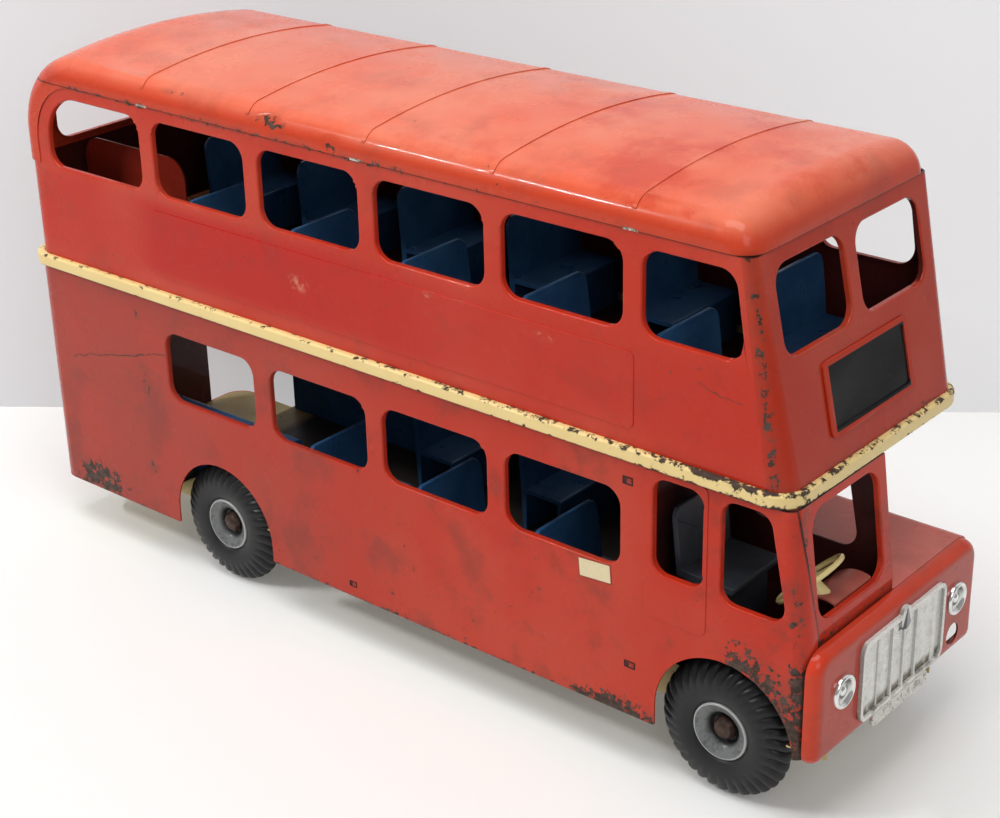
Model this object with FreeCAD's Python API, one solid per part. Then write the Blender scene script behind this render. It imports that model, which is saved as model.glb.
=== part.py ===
import FreeCAD, Part
import math
import os

# A pressed-steel toy double-decker bus with a half cab, in millimetres.
# +X is the front, +Y the bus's own left (the platform side), +Z up.
# The origin is on the floor below the middle of the overall length and width.

V = FreeCAD.Vector

# ---------------------------------------------------------------- driving dimensions
SHEET = 1.0                 # thickness of every pressing
LENGTH = 580.0              # band at the rear to grille at the front
HALF_WIDTH = 80.0           # middle plane to the outside of a body side
BAND_OUT = 3.5              # how far the waist band stands out of the body
LIP = 2.5                   # depth of the lips turned in around the windows
SEAT_GAP = 0.3              # clearance between pieces that only rest by each other
SWAGE = 0.5                 # how far the raised panels stand out

# heights, each from the one below it
SILL_Z = 31.5               # lower edge of the body sides
PLATFORM_Z = SILL_Z + 2.7   # top of the rear platform
LOWER_FLOOR_Z = 52.2        # top of the lower saloon floor
CAB_FLOOR_Z = LOWER_FLOOR_Z + 33.0
NOSE_LOW_Z = 43.9
FRONT_SILL_Z = NOSE_LOW_Z + 1.3     # lower edge of the sides ahead of the front wheels
BONNET_Z = 106.0            # top of the bonnet and nose
CAB_BREAK_Z = BONNET_Z + 6.2        # where the cab front begins to lean back
LOWER_HEIGHT = 147.8        # sill to waist band
BAND_HEIGHT = 7.8
UPPER_HEIGHT = 111.4        # waist band to roof seam
ROOF_RISE = 21.7            # roof seam to crown
BAND_LOW_Z = SILL_Z + LOWER_HEIGHT
BAND_HIGH_Z = BAND_LOW_Z + BAND_HEIGHT
UPPER_FLOOR_Z = BAND_LOW_Z + 3.4
SEAM_Z = BAND_HIGH_Z + UPPER_HEIGHT
ROOF_TOP_Z = SEAM_Z + ROOF_RISE
ROOF_REAR_Z = BAND_HIGH_Z + 59.8    # lower edge of the roof pressing at the back

# stations along the bus, from the rear and from the nose
BAND_REAR_X = -LENGTH / 2
LOWER_REAR_X = BAND_REAR_X + BAND_OUT
UPPER_REAR_X = LOWER_REAR_X + 2.5
GRILLE_OUT = 2.5            # grille proud of the nose face
NOSE_X = LENGTH / 2 - GRILLE_OUT
NOSE_DEPTH = 7.5
CAB_FRONT_X = NOSE_X - NOSE_DEPTH - SEAT_GAP
CAB_RAKE = 9.1
UPPER_SET_BACK = 13.2
UPPER_RAKE = 24.4
CAB_TOP_X = CAB_FRONT_X - CAB_RAKE          # front edge of the sides under the band
UPPER_FRONT_X = CAB_FRONT_X - UPPER_SET_BACK    # upper front at the band's top
UPPER_SEAM_X = UPPER_FRONT_X - UPPER_RAKE   # upper front at the roof seam
CAB_LENGTH = 97.7
BULKHEAD_X = CAB_FRONT_X - CAB_LENGTH
PLATFORM_LENGTH = 83.5
PLATFORM_FRONT_X = LOWER_REAR_X + PLATFORM_LENGTH

# corner radii
REAR_CORNER = 14.0
CAB_CORNER = 8.0
DOOR_LENGTH = 40.5          # bulkhead to the front of the cab door
UPPER_CORNER = 12.1
UPPER_CORNER_SEAM = 6.0
SHOULDER = 13.0             # rounding between roof and sides
ROOF_OVER = 0.6             # the roof pressing is a little wider than the body
ROOF_REAR_ROUND = 50.0
ROOF_FRONT_ROUND = 18.0
CROWN_R = 435.0             # crown of the roof from side to side
SEAM_ROUND = 38.5           # radius of the seam around the rear side window
SEAM_REAR_X = UPPER_REAR_X + 16.0
BONNET_ROUND = 9.0

# wheels
WHEEL_R = 38.5
TYRE_WIDTH = 17.0
TYRE_OUT_Y = HALF_WIDTH - 5.7       # outer face of a tyre
TYRE_SHOULDER = 8.0
TYRE_FACETS = 40
RIM_R = 16.2
RIM_SET_BACK = 1.2          # hub face behind the tyre's outer face
HUB_DISH = 7.5              # depth of the hub's funnel
HUB_CONE = 3.2              # depth of its wide upper part
AXLE_R = 2.0
AXLE_CLEARANCE = 0.05
CAP_R = 6.2
REAR_OVERHANG = 68.0        # platform's front edge to the rear axle
FRONT_OVERHANG = 51.9       # front axle to the cab front
REAR_AXLE_X = PLATFORM_FRONT_X + REAR_OVERHANG
FRONT_AXLE_X = CAB_FRONT_X - FRONT_OVERHANG
REAR_ARCH_X = REAR_AXLE_X + 6.0
FRONT_ARCH_X = FRONT_AXLE_X + 5.7
ARCH_CLEARANCE = 2.8
ARCH_R = WHEEL_R + ARCH_CLEARANCE
REAR_ARCH_TOP = 2 * WHEEL_R + 5.2
FRONT_ARCH_TOP = 2 * WHEEL_R + 8.2
CHASSIS_HALF = TYRE_OUT_Y - TYRE_WIDTH - 5.3    # outside of the chassis flanges
FLANGE_LOW_Z = SILL_Z - 0.3
WHEEL_BAY = WHEEL_R + 4.5   # half length of the floor's wheel cut-outs

# side windows, with the pillar between two of them
WINDOW_R = 10.0
UPPER_BAYS = 5              # bays between the rear side window and the front bend
UPPER_PILLAR = 11.35
UPPER_WIN_X = UPPER_REAR_X + 120.7  # rear edge of the second upper window
WINDOW_PITCH = (UPPER_FRONT_X + 1.45 - UPPER_WIN_X) / UPPER_BAYS
UPPER_WIN_HIGH = SEAM_Z - 7.6
UPPER_WIN_LOW = UPPER_WIN_HIGH - 44.2
REAR_WINDOW_ROUND = 28.0    # large corner of the rear side window
BEND_GAP = 3.8              # front side window to the bend
LOWER_BAYS = 3              # bays between the second lower window and the bulkhead
LOWER_PILLAR = 12.43
LOWER_WIN_X = LOWER_REAR_X + 206.8  # rear edge of the second lower window
LOWER_WIN_PITCH = (BULKHEAD_X - LOWER_WIN_X) / LOWER_BAYS
LOWER_WIN_LEN = LOWER_WIN_PITCH - LOWER_PILLAR
LOWER_WIN_HIGH = BAND_LOW_Z - 18.8
LOWER_WIN_LOW = LOWER_WIN_HIGH - 44.3

# roof ribs, over the pillars
RIB_HEIGHT = 0.5
RIB_WIDTH = 2.4
RIB_FIRST_X = UPPER_WIN_X - UPPER_PILLAR / 2

# seats
SEAT_HEIGHT = 62.3
SEAT_BACK = 2.4
SEAT_RECLINE = 4.0          # how far the top of a seat's back leans back
CUSHION_LEN = 30.0
CUSHION_Z = 27.0            # top of a cushion over its floor
SEAT_ROUND = 7.0
UPPER_ROWS = 6
UPPER_ROW_X = UPPER_REAR_X + 56.9
UPPER_KNEES = 82.6          # back of the last row to the front
UPPER_ROW_PITCH = (UPPER_FRONT_X - UPPER_KNEES - UPPER_ROW_X) / (UPPER_ROWS - 1)
LOWER_ROWS = 3
LOWER_ROW_X = LOWER_WIN_X + 21.6
LOWER_KNEES = 73.7          # back of the last row to the bulkhead
LOWER_ROW_PITCH = (BULKHEAD_X - LOWER_KNEES - LOWER_ROW_X) / (LOWER_ROWS - 1)
AISLE_RIGHT_Y = -21.9
AISLE_LEFT_Y = 13.8
SEAT_SIDE_GAP = 1.3         # between a seat's end and the window lips


# ---------------------------------------------------------------- small helpers
def box(x0, x1, y0, y1, z0, z1):
    return Part.makeBox(x1 - x0, y1 - y0, z1 - z0, V(x0, y0, z0))


def in_xz(y):
    return lambda a, b: V(a, y, b)


def in_yz(x):
    return lambda a, b: V(x, a, b)


def in_xy(z):
    return lambda a, b: V(a, b, z)


def outline(corners, place):
    """Face of a polygon whose corners are (a, b, radius)."""
    edges = []
    ends = []
    count = len(corners)
    for i, (a, b, radius) in enumerate(corners):
        before = corners[i - 1]
        after = corners[(i + 1) % count]
        here = V(a, b, 0)
        if radius <= 0:
            ends.append((here, None, here))
            continue
        u = (V(before[0], before[1], 0) - here).normalize()
        v = (V(after[0], after[1], 0) - here).normalize()
        half = u.getAngle(v) / 2
        run = radius / math.tan(half)
        inward = (u + v).normalize()
        middle = here + inward * (radius / math.sin(half) - radius)
        ends.append((here + u * run, middle, here + v * run))

    def put(p):
        return place(p.x, p.y)

    for i, (start, middle, end) in enumerate(ends):
        if middle is not None:
            edges.append(Part.Arc(put(start), put(middle), put(end)).toShape())
        following = ends[(i + 1) % count][0]
        if (following - end).Length > 1e-6:
            edges.append(Part.LineSegment(put(end), put(following)).toShape())
    return Part.Face(Part.Wire(edges))


def prism(corners, place, along):
    return outline(corners, place).extrude(along)


def rectangle(a0, a1, b0, b1, radius=0.0):
    return [(a0, b0, radius), (a1, b0, radius), (a1, b1, radius), (a0, b1, radius)]


def edges_where(shape, test):
    return [e for e in shape.Edges if test(e.CenterOfMass, e)]


def cylinder_y(radius, x, z, y0, y1):
    return Part.makeCylinder(radius, y1 - y0, V(x, y0, z), V(0, 1, 0))


def cylinder_x(radius, y, z, x0, x1):
    return Part.makeCylinder(radius, x1 - x0, V(x0, y, z), V(1, 0, 0))


def mirrored(shape):
    return shape.mirror(V(0, 0, 0), V(0, 1, 0))


def joined(first, others):
    return first.fuse(others).removeSplitter() if others else first


FRONT_PILLAR = 10.2         # between the two upper front windows
CAB_LEFT_Y = 2.9            # outside of the cab's inner wall


# ---------------------------------------------------------------- body blocks
# Each block is the solid inside the outer surface, inset by d, so that a
# pressing is one block cut by the next.
CAB_LEAN = (CAB_FRONT_X - CAB_TOP_X) / (BAND_LOW_Z - CAB_BREAK_Z)
UPPER_LEAN = (UPPER_FRONT_X - UPPER_SEAM_X) / (SEAM_Z - BAND_HIGH_Z)
BEYOND = 6.0                # how far a cutting block runs past an open edge


def cab_front_x(z):
    return CAB_FRONT_X - CAB_LEAN * max(0.0, z - CAB_BREAK_Z)


def upper_front_x(z):
    return UPPER_FRONT_X - UPPER_LEAN * (z - BAND_HIGH_Z)


def upper_corner_r(z):
    """Radius of the upper deck's front corners, less towards the seam."""
    share = (z - BAND_HIGH_Z) / (SEAM_Z - BAND_HIGH_Z)
    return UPPER_CORNER + share * (UPPER_CORNER_SEAM - UPPER_CORNER)


def bend_x(z):
    """Where the upper sides begin to bend into the front."""
    return upper_front_x(z) - upper_corner_r(z)


def upper_corner(side, d, z0, z1):
    """What the rounding takes off a leaning front corner, ruled from bottom to top."""
    rims = []
    for z in (z0, z1):
        r = upper_corner_r(z) - d
        x, y = upper_front_x(z) - d, side * (HALF_WIDTH - d)
        out_x, out_y = x + BEYOND, y + side * BEYOND
        half_turn = r * (1 - math.sqrt(0.5))
        middle = V(x - half_turn, y - side * half_turn, z)
        arc = Part.Arc(V(x, y - side * r, z), middle, V(x - r, y, z)).toShape()
        legs = Part.makePolygon([V(x - r, y, z), V(x - r, out_y, z), V(out_x, out_y, z),
                                 V(out_x, y - side * r, z), V(x, y - side * r, z)])
        rims.append(Part.Wire([arc] + legs.Edges))
    return Part.makeLoft(rims, True, True)


def lower_block(d, z0, z1):
    rear = LOWER_REAR_X + d
    half = HALF_WIDTH - d
    profile = [(rear, z0, 0), (CAB_FRONT_X - d, z0, 0), (CAB_FRONT_X - d, CAB_BREAK_Z, 0),
               (cab_front_x(z1) - d, z1, 0), (rear, z1, 0)]
    solid = prism(profile, in_xz(-half), V(0, 2 * half, 0))
    rears = edges_where(solid, lambda c, e: abs(c.x - rear) < 0.1 and abs(abs(c.y) - half) < 0.1)
    solid = solid.makeFillet(REAR_CORNER - d, rears)
    fronts = edges_where(solid, lambda c, e: c.x > BULKHEAD_X + 50 and abs(abs(c.y) - half) < 0.1
                         and z0 + 1 < c.z < z1 - 1)
    return solid.makeFillet(CAB_CORNER - d, fronts)


def upper_block(d, z0, z1):
    rear = UPPER_REAR_X + d
    half = HALF_WIDTH - d
    profile = [(rear, z0, 0), (upper_front_x(z0) - d, z0, 0), (upper_front_x(z1) - d, z1, 0), (rear, z1, 0)]
    solid = prism(profile, in_xz(-half), V(0, 2 * half, 0))
    rears = edges_where(solid, lambda c, e: abs(c.x - rear) < 0.1 and abs(abs(c.y) - half) < 0.1)
    solid = solid.makeFillet(REAR_CORNER - d, rears)
    return solid.cut(upper_corner(-1, d, z0, z1)).cut(upper_corner(1, d, z0, z1))


def roof_block(d):
    """The roof's side profile, swung about a lengthwise axis far below, so that
    the top is crowned and its ends follow the crown."""
    rear = UPPER_REAR_X - ROOF_OVER + d
    half = HALF_WIDTH + ROOF_OVER - d
    top = ROOF_TOP_Z - d
    low = ROOF_REAR_Z - 5 * BEYOND
    front = UPPER_SEAM_X + ROOF_OVER - d
    profile = [(rear, low, 0), (rear, top, ROOF_REAR_ROUND - d),
               (front, top, ROOF_FRONT_ROUND - d), (front, low, 0)]
    axis = V(0, 0, ROOF_TOP_Z - CROWN_R)
    swing = math.degrees(math.asin((HALF_WIDTH + BEYOND) / (low - axis.z)))
    face = outline(profile, in_xz(0)).rotate(axis, V(1, 0, 0), -swing)
    swung = face.revolve(axis, V(1, 0, 0), 2 * swing)
    bottom = ROOF_REAR_Z - (BEYOND if d > 0 else 0)
    solid = swung.common(box(rear - 1, front + 1, -half, half, bottom, ROOF_TOP_Z + BEYOND))
    sides = edges_where(solid, lambda c, e: abs(abs(c.y) - half) < 0.1 and c.z > bottom + 1)
    return solid.makeFillet(SHOULDER - d, sides)


def under_seam(grow):
    """Everything the roof pressing leaves to the sides and front: below the
    seam, and inside its arc around the rear side window."""
    rear = SEAM_REAR_X - grow
    top = SEAM_Z + grow
    front = UPPER_FRONT_X + 40
    profile = [(rear, BAND_LOW_Z, 0), (front, BAND_LOW_Z, 0), (front, top, 0), (rear, top, SEAM_ROUND + grow)]
    half = HALF_WIDTH + 10
    return prism(profile, in_xz(-half), V(0, 2 * half, 0))


# ---------------------------------------------------------------- windows
def side_window(x0, x1_low, x1_high, z0, z1, radii):
    """Corners from the rear sill round to the rear top, each with its radius."""
    r0, r1, r2, r3 = radii
    return [(x0, z0, r0), (x1_low, z0, r1), (x1_high, z1, r2), (x0, z1, r3)]


def upper_side_windows():
    r = WINDOW_R
    z0, z1 = UPPER_WIN_LOW, UPPER_WIN_HIGH
    front = UPPER_WIN_X - UPPER_PILLAR
    found = [side_window(UPPER_REAR_X + 26.0, front, front, z0, z1, (r, r, r, REAR_WINDOW_ROUND))]
    for i in range(UPPER_BAYS - 1):
        x = UPPER_WIN_X + i * WINDOW_PITCH
        front = x + WINDOW_PITCH - UPPER_PILLAR
        found.append(side_window(x, front, front, z0, z1, (r,) * 4))
    x = UPPER_WIN_X + (UPPER_BAYS - 1) * WINDOW_PITCH
    found.append(side_window(x, bend_x(z0) - BEND_GAP, bend_x(z1) - BEND_GAP, z0, z1, (r,) * 4))
    return found


def lower_side_windows():
    r = WINDOW_R
    rears = [LOWER_WIN_X - LOWER_WIN_LEN - LOWER_PILLAR - 1.57]
    rears += [LOWER_WIN_X + i * LOWER_WIN_PITCH for i in range(LOWER_BAYS)]
    found = []
    for x in rears:
        front = x + LOWER_WIN_LEN
        found.append(side_window(x, front, front, LOWER_WIN_LOW, LOWER_WIN_HIGH, (r,) * 4))
    return found


def cab_side_windows():
    r = 8.5
    top = BAND_LOW_Z - 4.8
    door_rear = BULKHEAD_X + 7.8
    door_front = door_rear + 30.3
    door = side_window(door_rear, door_front, door_front, top - 53.3, top, (r,) * 4)
    rear = door_front + 9.9
    quarter = side_window(rear, CAB_FRONT_X - 11.2, CAB_TOP_X - 13.6, top - 56.1, top, (r,) * 4)
    return [door, quarter]


def lipped(sheet, thick, faces, along):
    """Cut each window through the sheet, and turn a lip in around it."""
    lips = []
    for face in faces:
        hole = face.extrude(along)
        ring = face.makeOffset2D(SHEET).cut(face).extrude(along)
        lips.append(ring.common(thick))
        sheet = sheet.cut(hole)
    return joined(sheet, lips)


# ---------------------------------------------------------------- body sides
def arch(x, top):
    return [(x - ARCH_R, SILL_Z - 5, 0), (x + ARCH_R, SILL_Z - 5, 0),
            (x + ARCH_R, top, ARCH_R - 0.01), (x - ARCH_R, top, ARCH_R - 0.01)]


def lower_shell():
    return lower_block(0, SILL_Z, BAND_LOW_Z).cut(lower_block(SHEET, SILL_Z - BEYOND, BAND_LOW_Z + BEYOND))


def lower_lip_zone():
    inside = lower_block(SHEET + LIP, SILL_Z - BEYOND, BAND_LOW_Z + BEYOND)
    return lower_block(0, SILL_Z, BAND_LOW_Z).cut(inside)


RETURN_TOP = 4.2            # width of the side's return around the cab front corner, at the band
RETURN_LOW = 12.7           # and at the nose


REAR_SEAM_Y = -HALF_WIDTH + REAR_CORNER + 2     # the right side runs round the corner to here


def lower_side_right():
    rear = LOWER_REAR_X + REAR_CORNER + 4
    y0 = -HALF_WIDTH - 1
    zone = prism([(y0, SILL_Z - 1, 0), (-HALF_WIDTH + RETURN_LOW, SILL_Z - 1, 0),
                  (-HALF_WIDTH + RETURN_LOW, BONNET_Z, 0), (-HALF_WIDTH + RETURN_TOP, BAND_LOW_Z + 1, 0),
                  (y0, BAND_LOW_Z + 1, 0)], in_yz(rear), V(LENGTH, 0, 0))
    corner = box(LOWER_REAR_X - 1, rear, y0, REAR_SEAM_Y, SILL_Z - 1, BAND_LOW_Z + 1)
    sheet = lower_shell().common(zone.fuse(corner))
    windows = lower_side_windows() + cab_side_windows()
    faces = [outline(w, in_xz(y0)) for w in windows]
    sheet = lipped(sheet, lower_lip_zone(), faces, V(0, 8, 0))
    door = rectangle(BULKHEAD_X + 2.6, BULKHEAD_X + DOOR_LENGTH, CAB_FLOOR_Z + 10.4, BAND_LOW_Z - 1.0, 4.0)
    sheet = joined(sheet, [raised_panel(door).cut(faces[-2].extrude(V(0, 8, 0)))])
    for x, top in ((REAR_ARCH_X, REAR_ARCH_TOP), (FRONT_ARCH_X, FRONT_ARCH_TOP)):
        sheet = sheet.cut(prism(arch(x, top), in_xz(y0), V(0, 20, 0)))
    return sheet.cut(box(FRONT_ARCH_X, NOSE_X, y0, 0, 0, FRONT_SILL_Z))


DOOR_FRONT_X = PLATFORM_FRONT_X - 1.1       # platform entrance, up to the rear panel
DOOR_TOP_Z = LOWER_WIN_HIGH


def lower_side_left():
    rear = DOOR_FRONT_X
    y1 = HALF_WIDTH + 1
    low = box(rear, CAB_FRONT_X - CAB_CORNER, HALF_WIDTH - SHEET - LIP, y1, SILL_Z, BONNET_Z - BONNET_ROUND)
    high = box(rear, BULKHEAD_X, HALF_WIDTH - SHEET - LIP, y1, SILL_Z, BAND_LOW_Z)
    zone = low.fuse(high)
    over_door = box(LOWER_REAR_X + REAR_CORNER + 4, rear, HALF_WIDTH - SHEET, y1, DOOR_TOP_Z, BAND_LOW_Z)
    sheet = lower_shell().common(zone.fuse(over_door))
    faces = [outline(w, in_xz(y1)) for w in lower_side_windows()]
    sheet = lipped(sheet, lower_lip_zone(), faces, V(0, -8, 0))
    for x, top in ((REAR_ARCH_X, REAR_ARCH_TOP), (FRONT_ARCH_X, FRONT_ARCH_TOP)):
        sheet = sheet.cut(prism(arch(x, top), in_xz(y1), V(0, -20, 0)))
    return sheet.cut(box(FRONT_ARCH_X, NOSE_X, 0, y1, 0, FRONT_SILL_Z))


PLATFORM_OPEN_Y = 52.0      # the back is open from here to the left corner


def lower_rear_panel():
    """Back pressing, open behind the platform, with a skirt under it and a strip over it."""
    front = LOWER_REAR_X + REAR_CORNER + 4
    zone = box(LOWER_REAR_X - 1, front, REAR_SEAM_Y, HALF_WIDTH + 1, SILL_Z, BAND_LOW_Z)
    opening = box(LOWER_REAR_X - 2, front + 1, PLATFORM_OPEN_Y, HALF_WIDTH + 2, PLATFORM_Z, DOOR_TOP_Z)
    sheet = lower_shell().common(zone).cut(opening)
    window = outline(rectangle(-60, -8, LOWER_WIN_LOW, LOWER_WIN_HIGH, WINDOW_R), in_yz(LOWER_REAR_X - 1))
    return lipped(sheet, lower_lip_zone(), [window], V(8, 0, 0))


def upper_shell():
    return upper_block(0, BAND_HIGH_Z, SEAM_Z).cut(upper_block(SHEET, BAND_HIGH_Z - BEYOND, SEAM_Z + BEYOND))


def upper_lip_zone():
    inside = upper_block(SHEET + LIP, BAND_HIGH_Z - BEYOND, SEAM_Z + BEYOND)
    return upper_block(0, BAND_HIGH_Z, SEAM_Z).cut(inside)


def ahead_of_bend():
    """The part of the upper body ahead of the line where the sides bend into the front."""
    z0, z1 = BAND_HIGH_Z - BEYOND, SEAM_Z + BEYOND
    profile = [(bend_x(z0), z0, 0), (NOSE_X, z0, 0), (NOSE_X, z1, 0), (bend_x(z1), z1, 0)]
    half = HALF_WIDTH + 1
    return prism(profile, in_xz(-half), V(0, 2 * half, 0))


def raised_panel(corners):
    """A field of the right-hand side pressed out by a swage, its back hollow."""
    start, travel = -HALF_WIDTH - SWAGE, V(0, SHEET + SWAGE / 2, 0)
    plate = prism(corners, in_xz(start), travel)
    rims = edges_where(plate, lambda c, e: abs(c.y - start) < 0.01)
    return plate.makeFillet(SWAGE * 0.8, rims)


def upper_side_right():
    zone = under_seam(0).cut(ahead_of_bend()).common(
        box(SEAM_REAR_X, NOSE_X, -HALF_WIDTH - 1, -HALF_WIDTH + SHEET, BAND_HIGH_Z, SEAM_Z))
    sheet = upper_shell().common(zone)
    faces = [outline(w, in_xz(-HALF_WIDTH - 1)) for w in upper_side_windows()]
    sheet = lipped(sheet, upper_lip_zone(), faces, V(0, 8, 0))
    low = BAND_HIGH_Z + 9.1
    advert = rectangle(UPPER_WIN_X - 5.2, UPPER_FRONT_X - 88.8, low, low + 41.0, 4.0)
    return joined(sheet, [raised_panel(advert)])


def upper_front():
    sheet = upper_shell().common(ahead_of_bend())
    faces = []
    inner, outer = FRONT_PILLAR / 2, HALF_WIDTH - 15.6
    for y0, y1 in ((-outer, -inner), (inner, outer)):
        faces.append(outline(rectangle(y0, y1, UPPER_WIN_LOW, UPPER_WIN_HIGH - 0.4, WINDOW_R), in_yz(NOSE_X)))
    return lipped(sheet, upper_lip_zone(), faces, V(UPPER_SEAM_X - 20 - NOSE_X, 0, 0))


def upper_rear():
    half = HALF_WIDTH + 1
    zone = box(UPPER_REAR_X - 1, SEAM_REAR_X, -half, half, BAND_HIGH_Z, ROOF_REAR_Z)
    return upper_shell().common(zone)


def roof():
    shell = roof_block(0).cut(roof_block(SHEET)).cut(under_seam(0))
    ribs = []
    raised = roof_block(-RIB_HEIGHT).cut(roof_block(SHEET / 2))
    half = HALF_WIDTH + 5
    for i in range(UPPER_BAYS):
        x = RIB_FIRST_X + i * WINDOW_PITCH
        slab = box(x - RIB_WIDTH / 2, x + RIB_WIDTH / 2, -half, half, SEAM_Z + SHOULDER * 0.8, ROOF_TOP_Z + 5)
        ribs.append(raised.common(slab))
    side, low = HALF_WIDTH - 25.0, ROOF_REAR_Z + 5.3
    window = outline(rectangle(-side, side, low, low + 28.0, WINDOW_R), in_yz(UPPER_REAR_X - 5))
    shell = joined(shell, ribs)
    return lipped(shell, roof_block(0).cut(roof_block(SHEET + LIP)), [window], V(40, 0, 0))


def band_plan(out, z0, z1):
    half = HALF_WIDTH + out
    rear = LOWER_REAR_X - out
    front = UPPER_FRONT_X + out
    rears, fronts = REAR_CORNER + out, UPPER_CORNER + out
    corners = [(rear, -half, rears), (front, -half, fronts), (front, half, fronts), (rear, half, rears)]
    return prism(corners, in_xy(z0), V(0, 0, z1 - z0))


def waist_band():
    outer = band_plan(BAND_OUT, BAND_LOW_Z, BAND_HIGH_Z)
    rims = edges_where(outer, lambda c, e: min(abs(c.z - BAND_LOW_Z), abs(c.z - BAND_HIGH_Z)) < 0.01)
    outer = outer.makeFillet(1.6, rims)
    return outer.cut(band_plan(-SHEET, BAND_LOW_Z - 1, BAND_HIGH_Z + 1))


# ---------------------------------------------------------------- floors and chassis
def wheel_bays(z0, z1):
    bays = []
    for x in (REAR_AXLE_X, FRONT_AXLE_X):
        for y0, y1 in ((-HALF_WIDTH, -CHASSIS_HALF), (CHASSIS_HALF, HALF_WIDTH)):
            bays.append(box(x - WHEEL_BAY, x + WHEEL_BAY, y0, y1, z0, z1))
    return bays


def chassis_floor():
    inside = HALF_WIDTH - SHEET
    front = CAB_FRONT_X - SHEET - SEAT_GAP
    plate = box(PLATFORM_FRONT_X, front, -inside, inside, LOWER_FLOOR_Z - SHEET, LOWER_FLOOR_Z)
    plate = plate.cut(wheel_bays(0, LOWER_FLOOR_Z + 1))
    flanges = []
    for y in (-CHASSIS_HALF, CHASSIS_HALF - SHEET):
        flanges.append(box(PLATFORM_FRONT_X, front, y, y + SHEET, FLANGE_LOW_Z, LOWER_FLOOR_Z - SHEET))
    solid = joined(plate, flanges)
    for x in (REAR_AXLE_X, FRONT_AXLE_X):
        solid = solid.cut(cylinder_y(AXLE_R, x, WHEEL_R, -HALF_WIDTH, HALF_WIDTH))
    inner = lower_block(SHEET, SILL_Z - BEYOND, BAND_LOW_Z + BEYOND)
    return solid.common(inner)


def rear_platform():
    inner = lower_block(SHEET, SILL_Z - BEYOND, BAND_LOW_Z + BEYOND)
    half = HALF_WIDTH
    plate = box(LOWER_REAR_X, PLATFORM_FRONT_X, -half, half, PLATFORM_Z - SHEET, PLATFORM_Z)
    riser = box(PLATFORM_FRONT_X - SHEET, PLATFORM_FRONT_X, -half, half, PLATFORM_Z, LOWER_FLOOR_Z)
    return joined(plate, [riser]).common(inner)


def upper_floor():
    return band_plan(-SHEET, UPPER_FLOOR_Z - SHEET, UPPER_FLOOR_Z)


def bulkhead():
    inside = HALF_WIDTH - SHEET
    return box(BULKHEAD_X - SHEET, BULKHEAD_X, -inside, inside, LOWER_FLOOR_Z, UPPER_FLOOR_Z - SHEET)


def cab_floor():
    inner = lower_block(SHEET, SILL_Z - BEYOND, BAND_LOW_Z + BEYOND)
    plate = box(BULKHEAD_X, CAB_FRONT_X - SHEET, -HALF_WIDTH, CAB_LEFT_Y - SHEET,
                CAB_FLOOR_Z - SHEET, CAB_FLOOR_Z)
    return plate.common(inner)


def cab_front():
    """Windscreen panel, set one sheet behind the returned edge of the side."""
    set_back = SHEET
    top = BAND_LOW_Z
    low = CAB_FLOOR_Z
    y0 = -HALF_WIDTH + SHEET
    def slab(d):
        x = CAB_FRONT_X - set_back - d
        xt = cab_front_x(top) - set_back - d
        return [(x, low, 0), (x, CAB_BREAK_Z, 0), (xt, top, 0), (BULKHEAD_X, top, 0), (BULKHEAD_X, low, 0)]
    width = V(0, CAB_LEFT_Y - y0, 0)
    sheet = prism(slab(0), in_xz(y0), width).cut(prism(slab(SHEET), in_xz(y0), width))
    thick = prism(slab(0), in_xz(y0), width).cut(prism(slab(SHEET + LIP), in_xz(y0), width))
    inner = lower_block(SHEET, SILL_Z - BEYOND, UPPER_FLOOR_Z)
    corners = rectangle(-HALF_WIDTH + 15.0, CAB_LEFT_Y - 7.2, CAB_BREAK_Z + 4.0, BAND_LOW_Z - 5.1, 10.5)
    window = outline(corners, in_yz(NOSE_X))
    return lipped(sheet.common(inner), thick, [window], V(CAB_TOP_X - 20 - NOSE_X, 0, 0))


def cab_left_wall():
    front = CAB_FRONT_X - 2 * SHEET - SEAT_GAP
    top = BAND_LOW_Z
    profile = [(BULKHEAD_X, LOWER_FLOOR_Z, 0), (front, LOWER_FLOOR_Z, 0), (front, CAB_BREAK_Z, 0),
               (cab_front_x(top) - 2 * SHEET - SEAT_GAP, top, 0), (BULKHEAD_X, top, 0)]
    wall = prism(profile, in_xz(CAB_LEFT_Y - SHEET), V(0, SHEET, 0))
    low, high = CAB_BREAK_Z + 9.3, BAND_LOW_Z - 7.1
    window = side_window(BULKHEAD_X + 12, CAB_FRONT_X - 20.4, CAB_TOP_X - 21.6, low, high, (9.0,) * 4)
    return wall.cut(prism(window, in_xz(-10), V(0, 30, 0)))


def nose_block(d):
    half = HALF_WIDTH - d
    front = NOSE_X - d
    back = CAB_FRONT_X + SEAT_GAP - (BEYOND if d > 0 else 0)
    low_r, top_r = 7.0 - d, 12.0 - d
    solid = prism([(-half, NOSE_LOW_Z + d, low_r), (half, NOSE_LOW_Z + d, low_r),
                   (half, BONNET_Z - d, top_r), (-half, BONNET_Z - d, top_r)],
                  in_yz(back), V(front - back, 0, 0))
    rim = edges_where(solid, lambda c, e: abs(c.x - front) < 0.01)
    return solid.makeFillet(6.5 - d, rim)


LAMP_Y = HALF_WIDTH - 23.6
LAMP_Z = BONNET_Z - 27.5
LAMP_R = 9.2
LAMP_BULGE = 2.4
FOG_Z = LAMP_Z - 21.9
FOG_R = 6.3
GRILLE_HALF = LAMP_Y - 15.0
GRILLE_HIGH_Z = BONNET_Z - 8.8
GRILLE_LOW_Z = GRILLE_HIGH_Z - 46.0
GRILLE_RIM = 2.6
GRILLE_FLOOR = 0.6          # thickness of the recessed field
BOSS_Z = GRILLE_HIGH_Z - 1.5        # plain oval boss over the grille's upper rim


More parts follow.
